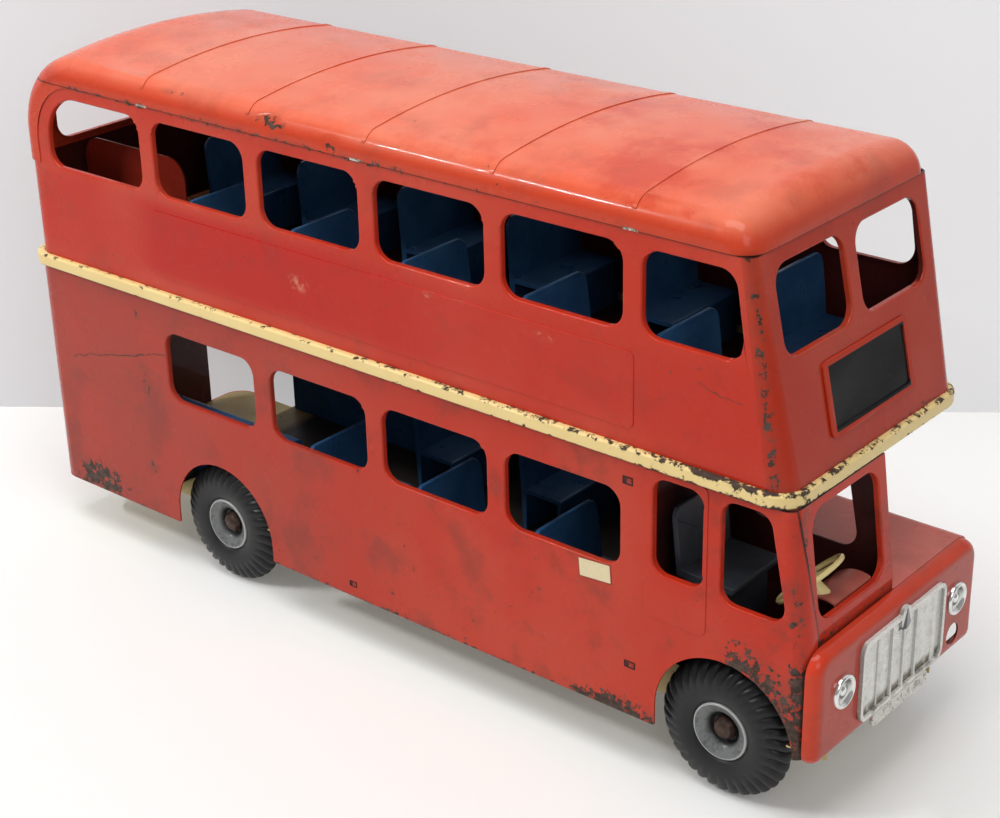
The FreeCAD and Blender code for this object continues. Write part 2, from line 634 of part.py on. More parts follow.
def nose_panel():
    solid = nose_block(0).cut(nose_block(SHEET))
    return solid.cut(cylinder_x(FOG_R, LAMP_Y, FOG_Z, 0, LENGTH))


def bonnet():
    y0 = CAB_LEFT_Y
    x0, x1 = BULKHEAD_X, CAB_FRONT_X

    def section(d):
        return prism([(y0 - BEYOND * (d > 0), BONNET_Z - BONNET_ROUND - 1 * (d > 0), 0),
                      (HALF_WIDTH - d, BONNET_Z - BONNET_ROUND - 1 * (d > 0), 0),
                      (HALF_WIDTH - d, BONNET_Z - d, BONNET_ROUND - d - 0.01),
                      (y0 - BEYOND * (d > 0), BONNET_Z - d, 0)], in_yz(x0), V(x1 - x0, 0, 0))
    return section(0).cut(section(SHEET))


# upright ridges of the grille: middle as a share of the half width, half width, height
GRILLE_BARS = ((-0.60, 1.2, 0.7), (-0.28, 2.0, 1.4), (0.0, 2.4, 1.4), (0.30, 2.0, 1.4), (0.78, 4.5, 0.7))


def grille():
    """A shallow tray with upright ridges, and a plain oval boss on its upper rim."""
    half, low, high = GRILLE_HALF, GRILLE_LOW_Z, GRILLE_HIGH_Z
    x0 = NOSE_X
    tray = prism(rectangle(-half, half, low, high, 6.0), in_yz(x0), V(GRILLE_OUT, 0, 0))
    rim = GRILLE_RIM
    field = prism(rectangle(-half + rim, half - rim, low + rim, high - rim, 6.0 - rim),
                  in_yz(x0 + GRILLE_FLOOR), V(GRILLE_OUT, 0, 0))
    added = []
    for share, width, height in GRILLE_BARS:
        y = share * half
        x1 = x0 + GRILLE_FLOOR + height
        added.append(prism([(y - width, x0, 0), (y + width, x0, 0), (y + 0.4 * width, x1, 0),
                            (y - 0.4 * width, x1, 0)],
                           lambda a, b: V(b, a, low + 1), V(0, 0, high - low - 2)))
    boss = prism(rectangle(-5.0, 5.0, BOSS_Z - 8.0, BOSS_Z + 5.0, 4.9), in_yz(x0), V(GRILLE_OUT, 0, 0))
    return joined(tray.cut(field), added + [boss])


def number_plate():
    high = GRILLE_LOW_Z - 1.0
    return prism(rectangle(-28.0, 28.0, high - 8.0, high, 3.9), in_yz(NOSE_X), V(2.0, 0, 0))


def lamp():
    radius = (LAMP_R ** 2 + LAMP_BULGE ** 2) / (2 * LAMP_BULGE)
    dome = Part.makeSphere(radius, V(NOSE_X + LAMP_BULGE - radius, LAMP_Y, LAMP_Z))
    disc = cylinder_x(LAMP_R, LAMP_Y, LAMP_Z, NOSE_X, NOSE_X + 4)
    return dome.common(disc)


def destination_box():
    """Raised frame with a plain field, on the leaning upper front."""
    z1 = UPPER_WIN_LOW - 9.0
    z0 = z1 - 37.5
    half = HALF_WIDTH - 41.0
    out = 1.4

    def slab(d0, d1):
        return prism([(upper_front_x(z0 - 5) + d0, z0 - 5, 0), (upper_front_x(z0 - 5) + d1, z0 - 5, 0),
                      (upper_front_x(z1 + 5) + d1, z1 + 5, 0), (upper_front_x(z1 + 5) + d0, z1 + 5, 0)],
                     in_xz(-half), V(0, 2 * half, 0))
    area = prism(rectangle(-half, half, z0, z1, 4.0), in_yz(UPPER_SEAM_X - 10), V(60, 0, 0))
    field = prism(rectangle(-half + 4, half - 4, z0 + 4, z1 - 4, 2.0), in_yz(UPPER_SEAM_X - 10), V(60, 0, 0))
    return slab(0, out).common(area).cut(slab(0.5, out + 1).common(field))


# ---------------------------------------------------------------- seats
def seat(x, y0, y1, floor):
    z_top = floor + SEAT_HEIGHT
    z_cushion = floor + CUSHION_Z
    t = SEAT_BACK
    recline = SEAT_RECLINE
    profile = [(x + recline, floor, 0), (x + recline + t, floor, 0), (x + recline + t, z_cushion - t, 0),
               (x + CUSHION_LEN, z_cushion - t, 0), (x + CUSHION_LEN, floor, 0),
               (x + CUSHION_LEN + t, floor, 0), (x + CUSHION_LEN + t, z_cushion, 1.5),
               (x + recline + t, z_cushion, 0), (x + t, z_top, 0.6), (x, z_top, 0.6)]
    solid = prism(profile, in_xz(y0), V(0, y1 - y0, 0))
    front = prism([(y0, floor, 0), (y1, floor, 0), (y1, z_top, SEAT_ROUND), (y0, z_top, SEAT_ROUND)],
                  in_yz(x - 10), V(60, 0, 0))
    return solid.common(front)


def bench(side):
    """Sideways bench over a rear wheel."""
    x0, x1 = PLATFORM_FRONT_X + 2.3, REAR_AXLE_X + 50.2
    z1 = LOWER_FLOOR_Z + 52.0
    y_in = CHASSIS_HALF - 0.5
    y_out = HALF_WIDTH - SHEET - LIP
    outer = prism([(y_in, LOWER_FLOOR_Z, 0), (y_out, LOWER_FLOOR_Z, 0), (y_out, z1, 0), (y_in, z1, 5.0)],
                  in_yz(x0), V(x1 - x0, 0, 0))
    t = SEAT_BACK
    inner = box(x0 + t, x1 - t, y_in + t, y_out + 5, 0, z1 - t)
    solid = outer.cut(inner)
    return solid if side > 0 else mirrored(solid)


def stair_guard():
    """Rounded guard that stands on the upper floor beside the stairwell."""
    x0 = LOWER_REAR_X + 14.5
    x1, z1 = x0 + 91.0, UPPER_FLOOR_Z + 71.5
    profile = [(x0, UPPER_FLOOR_Z, 0), (x1, UPPER_FLOOR_Z, 0), (x1, z1, 14.0), (x0, z1, 14.0)]
    return prism(profile, in_xz(-HALF_WIDTH + 37.0), V(0, SHEET, 0))


WHEEL_TILT = 43.0           # lean of the steering wheel's plane
WHEEL_SKEW = -4.7           # and how far it has been bent sideways
STEER_R = 19.0
STEER_GRIP = 1.4            # radius of the rim's section
STEER_BOSS = 1.5            # half height of the boss
STEER_X, STEER_Y, STEER_Z = CAB_FRONT_X - 22.5, -HALF_WIDTH / 2 - 1.1, CAB_FLOOR_Z + 38.3
COVER_R = 18.0
COVER_X = CAB_FRONT_X - 11.7        # half-round cover across the cab, under the windscreen
COVER_Z = CAB_FLOOR_Z + 15.8
COVER_RIGHT_Y, COVER_LEFT_Y = CAB_LEFT_Y - 49.4, CAB_LEFT_Y - 14.9


def steering_normal():
    lean, skew = math.radians(WHEEL_TILT), math.radians(WHEEL_SKEW)
    return V(-math.sin(lean) * math.cos(skew), math.sin(skew), math.cos(lean) * math.cos(skew))


def steering_wheel():
    normal = steering_normal()
    centre = V(STEER_X, STEER_Y, STEER_Z)
    across = normal.cross(V(1, 0, 0)).normalize()
    upwards = across.cross(normal)
    section = []
    for i in range(8):
        turn = math.pi * (2 * i + 1) / 8
        section.append((STEER_R + STEER_GRIP * math.cos(turn), STEER_GRIP * math.sin(turn), 0))
    face = outline(section, lambda r, h: centre + across * r + normal * h)
    ring = face.revolve(centre, normal, 360)
    boss = Part.makeCylinder(3.6, 2 * STEER_BOSS, centre - normal * STEER_BOSS, normal)
    spokes = []
    for i in range(3):
        turn = math.radians(90 + 120 * i)
        along = across * math.cos(turn) + upwards * math.sin(turn)
        spokes.append(Part.makeCylinder(1.2, STEER_R, centre, along))
    return ring.fuse([boss] + spokes)


def steering_column():
    """Short cream boss that carries the wheel on the cover."""
    normal = steering_normal()
    top = V(STEER_X, STEER_Y, STEER_Z) - normal * STEER_BOSS
    reach = 13.0
    rod = Part.makeCone(5.5, 3.4, reach, top - normal * reach, normal)
    return rod.cut(cover_drum(COVER_R, 1))


def cover_drum(radius, beyond):
    return cylinder_y(radius, COVER_X, COVER_Z, COVER_RIGHT_Y - beyond, COVER_LEFT_Y + beyond)


def column_cover():
    """Curved cover across the cab, its ends open. Its rear foot stands on the cab floor."""
    rear = COVER_X - COVER_R
    above = box(rear, CAB_FRONT_X, COVER_RIGHT_Y, COVER_LEFT_Y, COVER_Z, COVER_Z + COVER_R)
    arch = cover_drum(COVER_R, 0).cut(cover_drum(COVER_R - SHEET, 1)).common(above)
    leg = box(rear, rear + SHEET, COVER_RIGHT_Y, COVER_LEFT_Y, CAB_FLOOR_Z, COVER_Z)
    return joined(arch, [leg]).common(lower_block(2 * SHEET + LIP, SILL_Z, BAND_LOW_Z))


def driver_seat():
    """Seat on a pedestal, its back leaning on nothing but its own fold."""
    x, z = BULKHEAD_X + 9.5, CAB_FLOOR_Z
    y0, y1 = -HALF_WIDTH + 13.0, -HALF_WIDTH + 57.0
    pad_z, top_z = z + 34.0, z + 68.0
    profile = [(x + 9, z, 0), (x + 30, z, 0), (x + 30, pad_z - 4, 0), (x + 38, pad_z - 4, 1.5),
               (x + 38, pad_z, 1.5), (x + 7, pad_z, 0), (x + 3, top_z, 1.2), (x, top_z, 1.2),
               (x + 4, pad_z - 4, 0),
               (x + 9, pad_z - 4, 0)]
    solid = prism(profile, in_xz(y0), V(0, y1 - y0, 0))
    front = prism([(y0, z, 0), (y1, z, 0), (y1, top_z, SEAT_ROUND), (y0, top_z, SEAT_ROUND)],
                  in_yz(x - 5), V(60, 0, 0))
    return solid.common(front)


# ---------------------------------------------------------------- wheels and axles
def revolved(profile, x, z):
    """Turn a (radius, y) profile about the axle through (x, z)."""
    face = outline(profile, lambda r, y: V(x + r, y, z))
    return face.revolve(V(x, 0, z), V(0, 1, 0), 360)


def tyre(x):
    """Round-shouldered ring in flat facets, bored to seat on its hub."""
    y0, y1 = TYRE_OUT_Y - TYRE_WIDTH, TYRE_OUT_Y
    drop, part = TYRE_SHOULDER, 0.29 * TYRE_SHOULDER
    half = [(WHEEL_R - drop, y0), (WHEEL_R - part, y0 + part), (WHEEL_R, y0 + drop)]
    stations = half + [(radius, y0 + y1 - y) for radius, y in reversed(half)]
    rings = []
    for radius, y in stations:
        turns = [2 * math.pi * i / TYRE_FACETS for i in range(TYRE_FACETS + 1)]
        points = [V(x + radius * math.cos(t), y, WHEEL_R + radius * math.sin(t)) for t in turns]
        rings.append(Part.makePolygon(points[:-1] + points[:1]))
    solid = Part.makeLoft(rings, True, True)
    return solid.cut(cylinder_y(RIM_R, x, WHEEL_R, y0 - 1, y1 + 1))


def hub(x):
    bore = AXLE_R + AXLE_CLEARANCE
    y1 = TYRE_OUT_Y - RIM_SET_BACK
    y0 = TYRE_OUT_Y - TYRE_WIDTH + 2
    inner = CHASSIS_HALF + SEAT_GAP
    floor = y1 - HUB_DISH
    profile = [(bore, inner, 0), (CAP_R, inner, 0), (CAP_R, y0, 0), (RIM_R, y0, 0), (RIM_R, y1, 0),
               (RIM_R - 1.4, y1, 0), (CAP_R + 3.6, y1 - HUB_CONE, 0), (CAP_R + 1.4, floor, 0),
               (bore, floor, 0)]
    return revolved(profile, x, WHEEL_R)


def axle(x):
    """Rod with a domed cap pressed on each end, outside the hubs."""
    cap_y = TYRE_OUT_Y - RIM_SET_BACK - HUB_DISH + SEAT_GAP
    r = CAP_R
    dome = [(0, cap_y, 0), (r, cap_y, 0), (r, cap_y + 0.35 * r, 0), (0.77 * r, cap_y + 0.75 * r, 0),
            (0.36 * r, cap_y + 0.95 * r, 0), (0, cap_y + 0.95 * r, 0)]
    cap = revolved(dome, x, WHEEL_R)
    rod = cylinder_y(AXLE_R, x, WHEEL_R, -cap_y, cap_y)
    return joined(rod, [cap, mirrored(cap)])


# ---------------------------------------------------------------- write the nodes
def all_nodes():
    nodes = {
        "lower_side_right": lower_side_right(),
        "lower_side_left": lower_side_left(),
        "lower_rear_panel": lower_rear_panel(),
        "waist_band": waist_band(),
        "upper_side_right": upper_side_right(),
        "upper_front": upper_front(),
        "upper_rear": upper_rear(),
        "roof": roof(),
        "chassis_floor": chassis_floor(),
        "rear_platform": rear_platform(),
        "upper_floor": upper_floor(),
        "bulkhead": bulkhead(),
        "cab_floor": cab_floor(),
        "cab_front": cab_front(),
        "cab_left_wall": cab_left_wall(),
        "nose_panel": nose_panel(),
        "bonnet": bonnet(),
        "grille": grille(),
        "number_plate": number_plate(),
        "headlamp_left": lamp(),
        "destination_box": destination_box(),
        "stair_guard": stair_guard(),
        "steering_wheel": steering_wheel(),
        "steering_column": steering_column(),
        "column_cover": column_cover(),
        "driver_seat": driver_seat(),
        "bench_left": bench(1),
        "bench_right": bench(-1),
        "front_axle": axle(FRONT_AXLE_X),
        "rear_axle": axle(REAR_AXLE_X),
    }
    nodes["upper_side_left"] = mirrored(nodes["upper_side_right"])
    nodes["headlamp_right"] = mirrored(nodes["headlamp_left"])
    wall = HALF_WIDTH - SHEET - LIP - SEAT_SIDE_GAP
    sides = (("right", -wall, AISLE_RIGHT_Y), ("left", AISLE_LEFT_Y, wall))
    for name, y0, y1 in sides:
        for row in range(UPPER_ROWS):
            if name == "right" and row == 0:
                continue
            x = UPPER_ROW_X + row * UPPER_ROW_PITCH
            nodes["upper_seat_%s_%d" % (name, row)] = seat(x, y0, y1, UPPER_FLOOR_Z)
        for row in range(LOWER_ROWS):
            x = LOWER_ROW_X + row * LOWER_ROW_PITCH
            nodes["lower_seat_%s_%d" % (name, row + 1)] = seat(x, y0, y1, LOWER_FLOOR_Z)
    for end, x in (("front", FRONT_AXLE_X), ("rear", REAR_AXLE_X)):
        nodes["tyre_%s_left" % end] = tyre(x)
        nodes["hub_%s_left" % end] = hub(x)
        nodes["tyre_%s_right" % end] = mirrored(nodes["tyre_%s_left" % end])
        nodes["hub_%s_right" % end] = mirrored(nodes["hub_%s_left" % end])
    return nodes


os.makedirs("parts", exist_ok=True)
for node_name, node_shape in all_nodes().items():
    node_shape.exportStep("parts/%s.step" % node_name)
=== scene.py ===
"""Looks of a worn pressed-steel toy double-decker bus, dressed over its CAD frame.

Metres; +X is the front, -Y the cab side, +Z up, and the wheels stand on z = 0.
"""

import math

import bpy
from mathutils import Matrix, Vector


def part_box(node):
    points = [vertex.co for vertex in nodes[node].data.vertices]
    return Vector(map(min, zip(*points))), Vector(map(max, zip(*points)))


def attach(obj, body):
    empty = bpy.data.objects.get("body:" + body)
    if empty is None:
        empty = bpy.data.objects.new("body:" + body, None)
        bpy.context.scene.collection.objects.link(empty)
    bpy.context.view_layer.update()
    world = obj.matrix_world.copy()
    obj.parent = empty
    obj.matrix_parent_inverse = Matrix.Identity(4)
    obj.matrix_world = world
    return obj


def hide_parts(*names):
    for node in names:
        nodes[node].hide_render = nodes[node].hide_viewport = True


MM = 0.001
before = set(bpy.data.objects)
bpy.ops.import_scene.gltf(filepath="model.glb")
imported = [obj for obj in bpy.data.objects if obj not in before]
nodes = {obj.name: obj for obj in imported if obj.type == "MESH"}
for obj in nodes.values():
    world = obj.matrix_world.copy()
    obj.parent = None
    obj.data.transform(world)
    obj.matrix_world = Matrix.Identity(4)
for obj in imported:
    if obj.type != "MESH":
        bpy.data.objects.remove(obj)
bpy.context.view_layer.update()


def low(node):
    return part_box(node)[0]


def high(node):
    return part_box(node)[1]


def middle(node):
    return (low(node) + high(node)) / 2


# ---------------------------------------------------------------- sizes taken from the frame
SIDE_Y = high("upper_rear").y               # outside of the body sides
CAB_Y = -SIDE_Y                             # outside of the side with the cab
BAND_LOW, BAND_HIGH = low("waist_band").z, high("waist_band").z
BAND_Z = (BAND_LOW + BAND_HIGH) / 2
SEAM_Z = high("upper_side_right").z
SILL_Z = low("lower_side_right").z
CAB_X = high("lower_side_right").x
NOSE_X = high("nose_panel").x
NOSE_LOW, NOSE_TOP = low("nose_panel").z, high("nose_panel").z
BEND_TOP = high("upper_side_right").x       # front bend of the upper deck at the seam
WHEELS = ("front_left", "front_right", "rear_left", "rear_right")
TYRE_R = (high("tyre_front_left").z - low("tyre_front_left").z) / 2
FRONT_WHEEL_X, REAR_WHEEL_X = middle("tyre_front_left").x, middle("tyre_rear_left").x
ARCH_X, ARCH_R = FRONT_WHEEL_X + 5.7 * MM, TYRE_R + 8.2 * MM      # opening over the front wheel


# ---------------------------------------------------------------- materials
class Finish:
    """A material under construction. Each method adds nodes and gives back an output."""

    def __init__(self, name, roughness=0.5, metallic=0.0, coat=0.0, coat_roughness=0.1, specular=0.5):
        self.material = bpy.data.materials.new(name)
        self.material.use_nodes = True
        self.nodes = self.material.node_tree.nodes
        self.links = self.material.node_tree.links
        self.shader = self.nodes["Principled BSDF"]
        inputs = self.shader.inputs
        inputs["Roughness"].default_value = roughness
        inputs["Metallic"].default_value = metallic
        inputs["Coat Weight"].default_value = coat
        inputs["Coat Roughness"].default_value = coat_roughness
        inputs["Specular IOR Level"].default_value = specular
        self.place = self.nodes.new("ShaderNodeTexCoord").outputs["Object"]

    def set(self, socket, value):
        if hasattr(value, "is_linked"):
            self.links.new(value, socket)
        else:
            socket.default_value = value

    def noise(self, scale, detail=3.0, roughness=0.55):
        node = self.nodes.new("ShaderNodeTexNoise")
        node.inputs["Scale"].default_value = scale
        node.inputs["Detail"].default_value = detail
        node.inputs["Roughness"].default_value = roughness
        self.links.new(self.place, node.inputs["Vector"])
        return node.outputs["Fac"]

    def axis(self, letter):
        node = self.nodes.new("ShaderNodeSeparateXYZ")
        self.links.new(self.place, node.inputs["Vector"])
        return node.outputs[letter]

    def vector(self, operation, a, b=(0, 0, 0), out="Vector"):
        node = self.nodes.new("ShaderNodeVectorMath")
        node.operation = operation
        self.set(node.inputs[0], a)
        self.set(node.inputs[1], b)
        return node.outputs[out]

    def maths(self, operation, a, b=0.0, clamp=False):
        """One step of arithmetic on values or sockets."""
        node = self.nodes.new("ShaderNodeMath")
        node.operation = operation
        node.use_clamp = clamp
        self.set(node.inputs[0], a)
        self.set(node.inputs[1], b)
        return node.outputs["Value"]

    def ramp(self, value, start, end, out_start=0.0, out_end=1.0):
        node = self.nodes.new("ShaderNodeMapRange")
        node.interpolation_type = "SMOOTHSTEP"
        self.set(node.inputs["Value"], value)
        node.inputs["From Min"].default_value = start
        node.inputs["From Max"].default_value = end
        node.inputs["To Min"].default_value = out_start
        node.inputs["To Max"].default_value = out_end
        return node.outputs["Result"]

    def mix(self, share, a, b):
        node = self.nodes.new("ShaderNodeMix")
        node.data_type = "RGBA"
        self.set(node.inputs["Factor"], share)
        for socket, colour in ((node.inputs[6], a), (node.inputs[7], b)):
            self.set(socket, colour if hasattr(colour, "is_linked") else (*colour, 1.0))
        return node.outputs[2]

    def most(self, *masks):
        found = masks[0]
        for mask in masks[1:]:
            found = self.maths("MAXIMUM", found, mask)
        return found

    def both(self, a, b):
        return self.maths("MULTIPLY", a, b)

    def near(self, letter, value, reach):
        """1 on the plane where the axis has that value, falling to 0 at reach."""
        away = self.maths("ABSOLUTE", self.maths("SUBTRACT", self.axis(letter), value))
        return self.ramp(away, reach, 0.0)

    def patch(self, centre, radii):
        """1 at a centre, falling to 0 on an ellipsoid round it."""
        away = self.vector("SUBTRACT", self.place, centre)
        away = self.vector("DIVIDE", away, radii)
        return self.ramp(self.vector("LENGTH", away, out="Value"), 1.0, 0.25)

    def stroke(self, start, end, reach, wander=0.0):
        """1 along a straight line from start to end, falling to 0 at reach. It may wander a little."""
        place = self.place
        if wander:
            node = self.nodes.new("ShaderNodeTexNoise")
            node.inputs["Scale"].default_value = 90.0
            self.links.new(self.place, node.inputs["Vector"])
            shift = self.vector("SUBTRACT", node.outputs["Color"], (0.5, 0.5, 0.5))
            place = self.vector("ADD", place, self.vector("MULTIPLY", shift, (wander, 0, wander)))
        along = Vector(end) - Vector(start)
        offset = self.vector("SUBTRACT", place, start)
        share = self.maths("DIVIDE", self.vector("DOT_PRODUCT", offset, along, "Value"),
                           along.length_squared, clamp=True)
        step = self.nodes.new("ShaderNodeVectorMath")
        step.operation = "SCALE"
        step.inputs[0].default_value = along
        self.links.new(share, step.inputs["Scale"])
        away = self.vector("LENGTH", self.vector("SUBTRACT", offset, step.outputs["Vector"]), out="Value")
        return self.ramp(away, reach, 0.3 * reach)

    def spots(self, scale, radius):
        """Small round spots strewn about, with the given radius in metres."""
        node = self.nodes.new("ShaderNodeTexVoronoi")
        node.inputs["Scale"].default_value = scale
        self.links.new(self.place, node.inputs["Vector"])
        return self.ramp(node.outputs["Distance"], radius * scale, 0.5 * radius * scale)

    def facing(self, direction):
        """How far the surface faces a direction, from -1 to 1."""
        normal = self.nodes.new("ShaderNodeNewGeometry").outputs["Normal"]
        return self.vector("DOT_PRODUCT", normal, direction, "Value")

    def bump(self, height):
        """Raises the surface by a height in millimetres."""
        node = self.nodes.new("ShaderNodeBump")
        node.inputs["Strength"].default_value = 1.0
        node.inputs["Distance"].default_value = MM
        self.links.new(height, node.inputs["Height"])
        self.links.new(node.outputs["Normal"], self.shader.inputs["Normal"])

    def done(self, colour, roughness=None):
        self.set(self.shader.inputs["Base Color"], colour if hasattr(colour, "is_linked") else (*colour, 1.0))
        if roughness is not None:
            self.set(self.shader.inputs["Roughness"], roughness)
        return self.material


RUST = (0.045, 0.026, 0.019)
BARE = (0.085, 0.055, 0.042)
# Painted shade in the open seams.
SEAM_SHADOW = (0.018, 0.008, 0.006)
SCUFF = (0.62, 0.24, 0.16)
RED = (0.50, 0.028, 0.010)
RED_FADED = (0.52, 0.050, 0.024)
DEEP_RED = (0.46, 0.010, 0.003)
DULL_RED = (0.36, 0.040, 0.024)
# Darker red of the front faces: painted shade.
SHADED_FRONT_RED = (0.41, 0.026, 0.008)
# Brighter red of the nose's rolled edges: painted light.
LIT_NOSE_RED = (0.58, 0.045, 0.017)
# Dull pink of the nose's flat face: painted reflection of the pale floor.
NOSE_FLOOR_REFLECTION = (0.47, 0.068, 0.045)
# Lighter, pinker red of the bonnet's top: painted light and painted reflection.
LIT_BONNET_RED = (0.70, 0.135, 0.095)
ROOF_ORANGE = (0.66, 0.105, 0.045)
ROOF_PALE = (0.68, 0.17, 0.092)
ROOF_DEEP = (0.53, 0.046, 0.016)
INSIDE = (0.070, 0.010, 0.008)
CREAM = (0.86, 0.68, 0.31)
BLUE = (0.022, 0.085, 0.21)
# Pale seat edges: wear, with a painted highlight.
SEAT_EDGE_WEAR_AND_HIGHLIGHT = (0.34, 0.38, 0.40)
KHAKI = (0.56, 0.45, 0.21)
# The centre that inner faces look to, and how much each axis counts.
LONG_SIDES = ((0.0, 0.0, 0.0), (0.0, 1.0, 0.0))
ENDS = ((0.0, 0.0, 0.0), (1.0, 0.3, 0.0))


def inwards(f, centre, weights):
    """1 on the faces that look in towards a centre, each axis counting by its weight."""
    spot = f.vector("MULTIPLY", f.vector("SUBTRACT", f.place, centre), weights)
    normal = f.nodes.new("ShaderNodeNewGeometry").outputs["Normal"]
    return f.ramp(f.vector("DOT_PRODUCT", spot, normal, "Value"), -0.002, -0.012)


SMUDGE = (0.17, 0.032, 0.022)
WORN_THIN = (0.24, 0.045, 0.03)


def enamel(name, colour, faded, wear, inner=LONG_SIDES, roughness=0.24, shade=None, worn=None, lines=(),
           seam_shade=None, scuffs=(), dents=(), grime=0.2):
    """Gloss enamel on pressed steel, faded in clouds and chipped down to browned metal.

    shade(f) gives (mask, colour) for a stretch of deeper or more muted paint, and on the nose and the
    roof's lower edge a stretch of painted light and shade; worn(f) a mask of heavy wear. lines are
    (start, end, reach) scratches, seam_shade(f) is the painted shade of open seams, scuffs are (place,
    radii) of pale rubbed paint, dents (place, radii, depth in millimetres), and grime is how deep the
    smudges are.
    """
    f = Finish(name, roughness=roughness, coat=0.26, coat_roughness=0.05, specular=0.10)
    paint = f.mix(f.ramp(f.noise(11.0, 4.0), 0.38, 0.66), colour, faded)
    if shade:
        mask, other = shade(f)
        paint = f.mix(mask, paint, other)
    for place, radii in scuffs:
        rubbed = f.both(f.patch(place, radii), f.ramp(f.noise(330.0, 4.0, 0.7), 0.44, 0.62, 0.0, 0.75))
        paint = f.mix(rubbed, paint, SCUFF)
    smudged = f.ramp(f.noise(24.0, 6.0, 0.68), 0.50, 0.66, 0.0, grime)
    paint = f.mix(smudged, paint, SMUDGE)
    ragged = f.noise(230.0, 5.0, 0.72)
    few = f.ramp(f.noise(16.0, 2.0), 0.40, 0.72, -0.03, 0.05)
    score = f.maths("ADD", ragged, few)
    if worn:
        mask = worn(f)
        score = f.maths("ADD", score, f.both(mask, 0.235))
        thin = f.both(mask, f.ramp(f.noise(60.0, 5.0), 0.40, 0.60, 0.0, 0.6))
        paint = f.mix(thin, paint, WORN_THIN)
    chips = f.ramp(score, 0.715 - 0.03 * wear, 0.735 - 0.03 * wear)
    chips = f.most(chips, f.both(f.spots(52.0, 0.75 * MM), f.ramp(f.noise(9.0, 1.0), 0.42, 0.50)))
    for start, end, reach in lines:
        broken = f.ramp(f.noise(260.0, 3.0), 0.34, 0.46)
        chips = f.most(chips, f.both(f.stroke(start, end, reach, 6 * MM), broken))
    metal = f.mix(f.ramp(f.noise(240.0, 4.0), 0.4, 0.65), RUST, BARE)
    outside = f.mix(chips, paint, metal)
    # Painted shade darkens the open seams.
    if seam_shade:
        outside = f.mix(seam_shade(f), outside, SEAM_SHADOW)
    maroon = f.mix(f.noise(30.0), INSIDE, (0.10, 0.017, 0.013))
    sheen = f.ramp(f.noise(40.0, 4.0), 0.3, 0.7, roughness - 0.07, roughness + 0.08)
    height = f.both(f.noise(17.0, 1.0), 0.35)
    for place, radii, depth in dents:
        height = f.maths("SUBTRACT", height, f.both(f.patch(place, radii), depth))
    f.bump(height)
    return f.done(f.mix(inwards(f, *inner), outside, maroon), f.maths("ADD", sheen, f.both(chips, 0.45)))


def band_cream():
    """Cream enamel, chipped along both edges of the band and worst at the cab corner, with painted shade on
    the faces that look down.
    """
    f = Finish("chipped_cream", roughness=0.34, specular=0.3)
    edge = f.maths("ABSOLUTE", f.maths("SUBTRACT", f.axis("Z"), BAND_Z))
    edge = f.ramp(edge, 0.8 * MM, (BAND_HIGH - BAND_LOW) / 2)
    by_cab = f.maths("ADD", f.both(f.patch((0.235, CAB_Y, BAND_Z), (0.085, 0.035, 0.02)), 0.085),
                     f.ramp(f.axis("X"), -0.10, 0.16, -0.03, 0.018))
    ragged = f.maths("ADD", f.noise(190.0, 8.0, 0.75), by_cab)
    score = f.maths("ADD", f.both(edge, 0.15), ragged)
    chips = f.ramp(score, 0.685, 0.70)
    paint = f.mix(f.noise(25.0, 3.0), CREAM, (0.74, 0.54, 0.22))
    metal = f.mix(f.noise(300.0, 3.0), (0.022, 0.014, 0.011), (0.09, 0.055, 0.038))
    # Painted shade: the faces that look down are painted near black.
    under = f.ramp(f.facing((0.0, 0.0, -1.0)), 0.3, 0.7)
    f.bump(f.both(chips, -0.10))
    outside = f.mix(chips, paint, metal)
    return f.done(f.mix(under, outside, (0.030, 0.012, 0.009)), f.ramp(chips, 0.0, 1.0, 0.30, 0.75))


def worn_paint(name, colour, other, roughness, specks, shade=None):
    """Plain enamel of the inner pieces, with chips where a fine noise passes the specks' level, and painted
    shade where shade(f) gives it.
    """
    f = Finish(name, roughness=roughness, specular=0.3)
    paint = f.mix(f.ramp(f.noise(40.0, 5.0), 0.35, 0.65), colour, other)
    chips = f.ramp(f.noise(260.0, 5.0, 0.65), specks, specks + 0.03)
    # Painted shade from shade(f).
    if shade:
        mask, shaded_colour = shade(f)
        paint = f.mix(mask, paint, shaded_colour)
    f.bump(f.maths("ADD", f.both(f.noise(90.0, 3.0), 0.03), f.both(chips, -0.05)))
    sheen = f.ramp(f.noise(60.0, 3.0), 0.3, 0.7, roughness - 0.1, roughness + 0.1)
    return f.done(f.mix(chips, paint, RUST), sheen)


def lower_deck_shade(f):
    """Painted shade: the lower deck's floor inside the body is painted dark; only the platform shows the
    khaki on top.
    """
    inside = f.ramp(f.axis("X"), -0.190, -0.178)
    return f.both(inside, f.ramp(f.facing((0.0, 0.0, 1.0)), 0.5, 0.8)), (0.045, 0.036, 0.028)


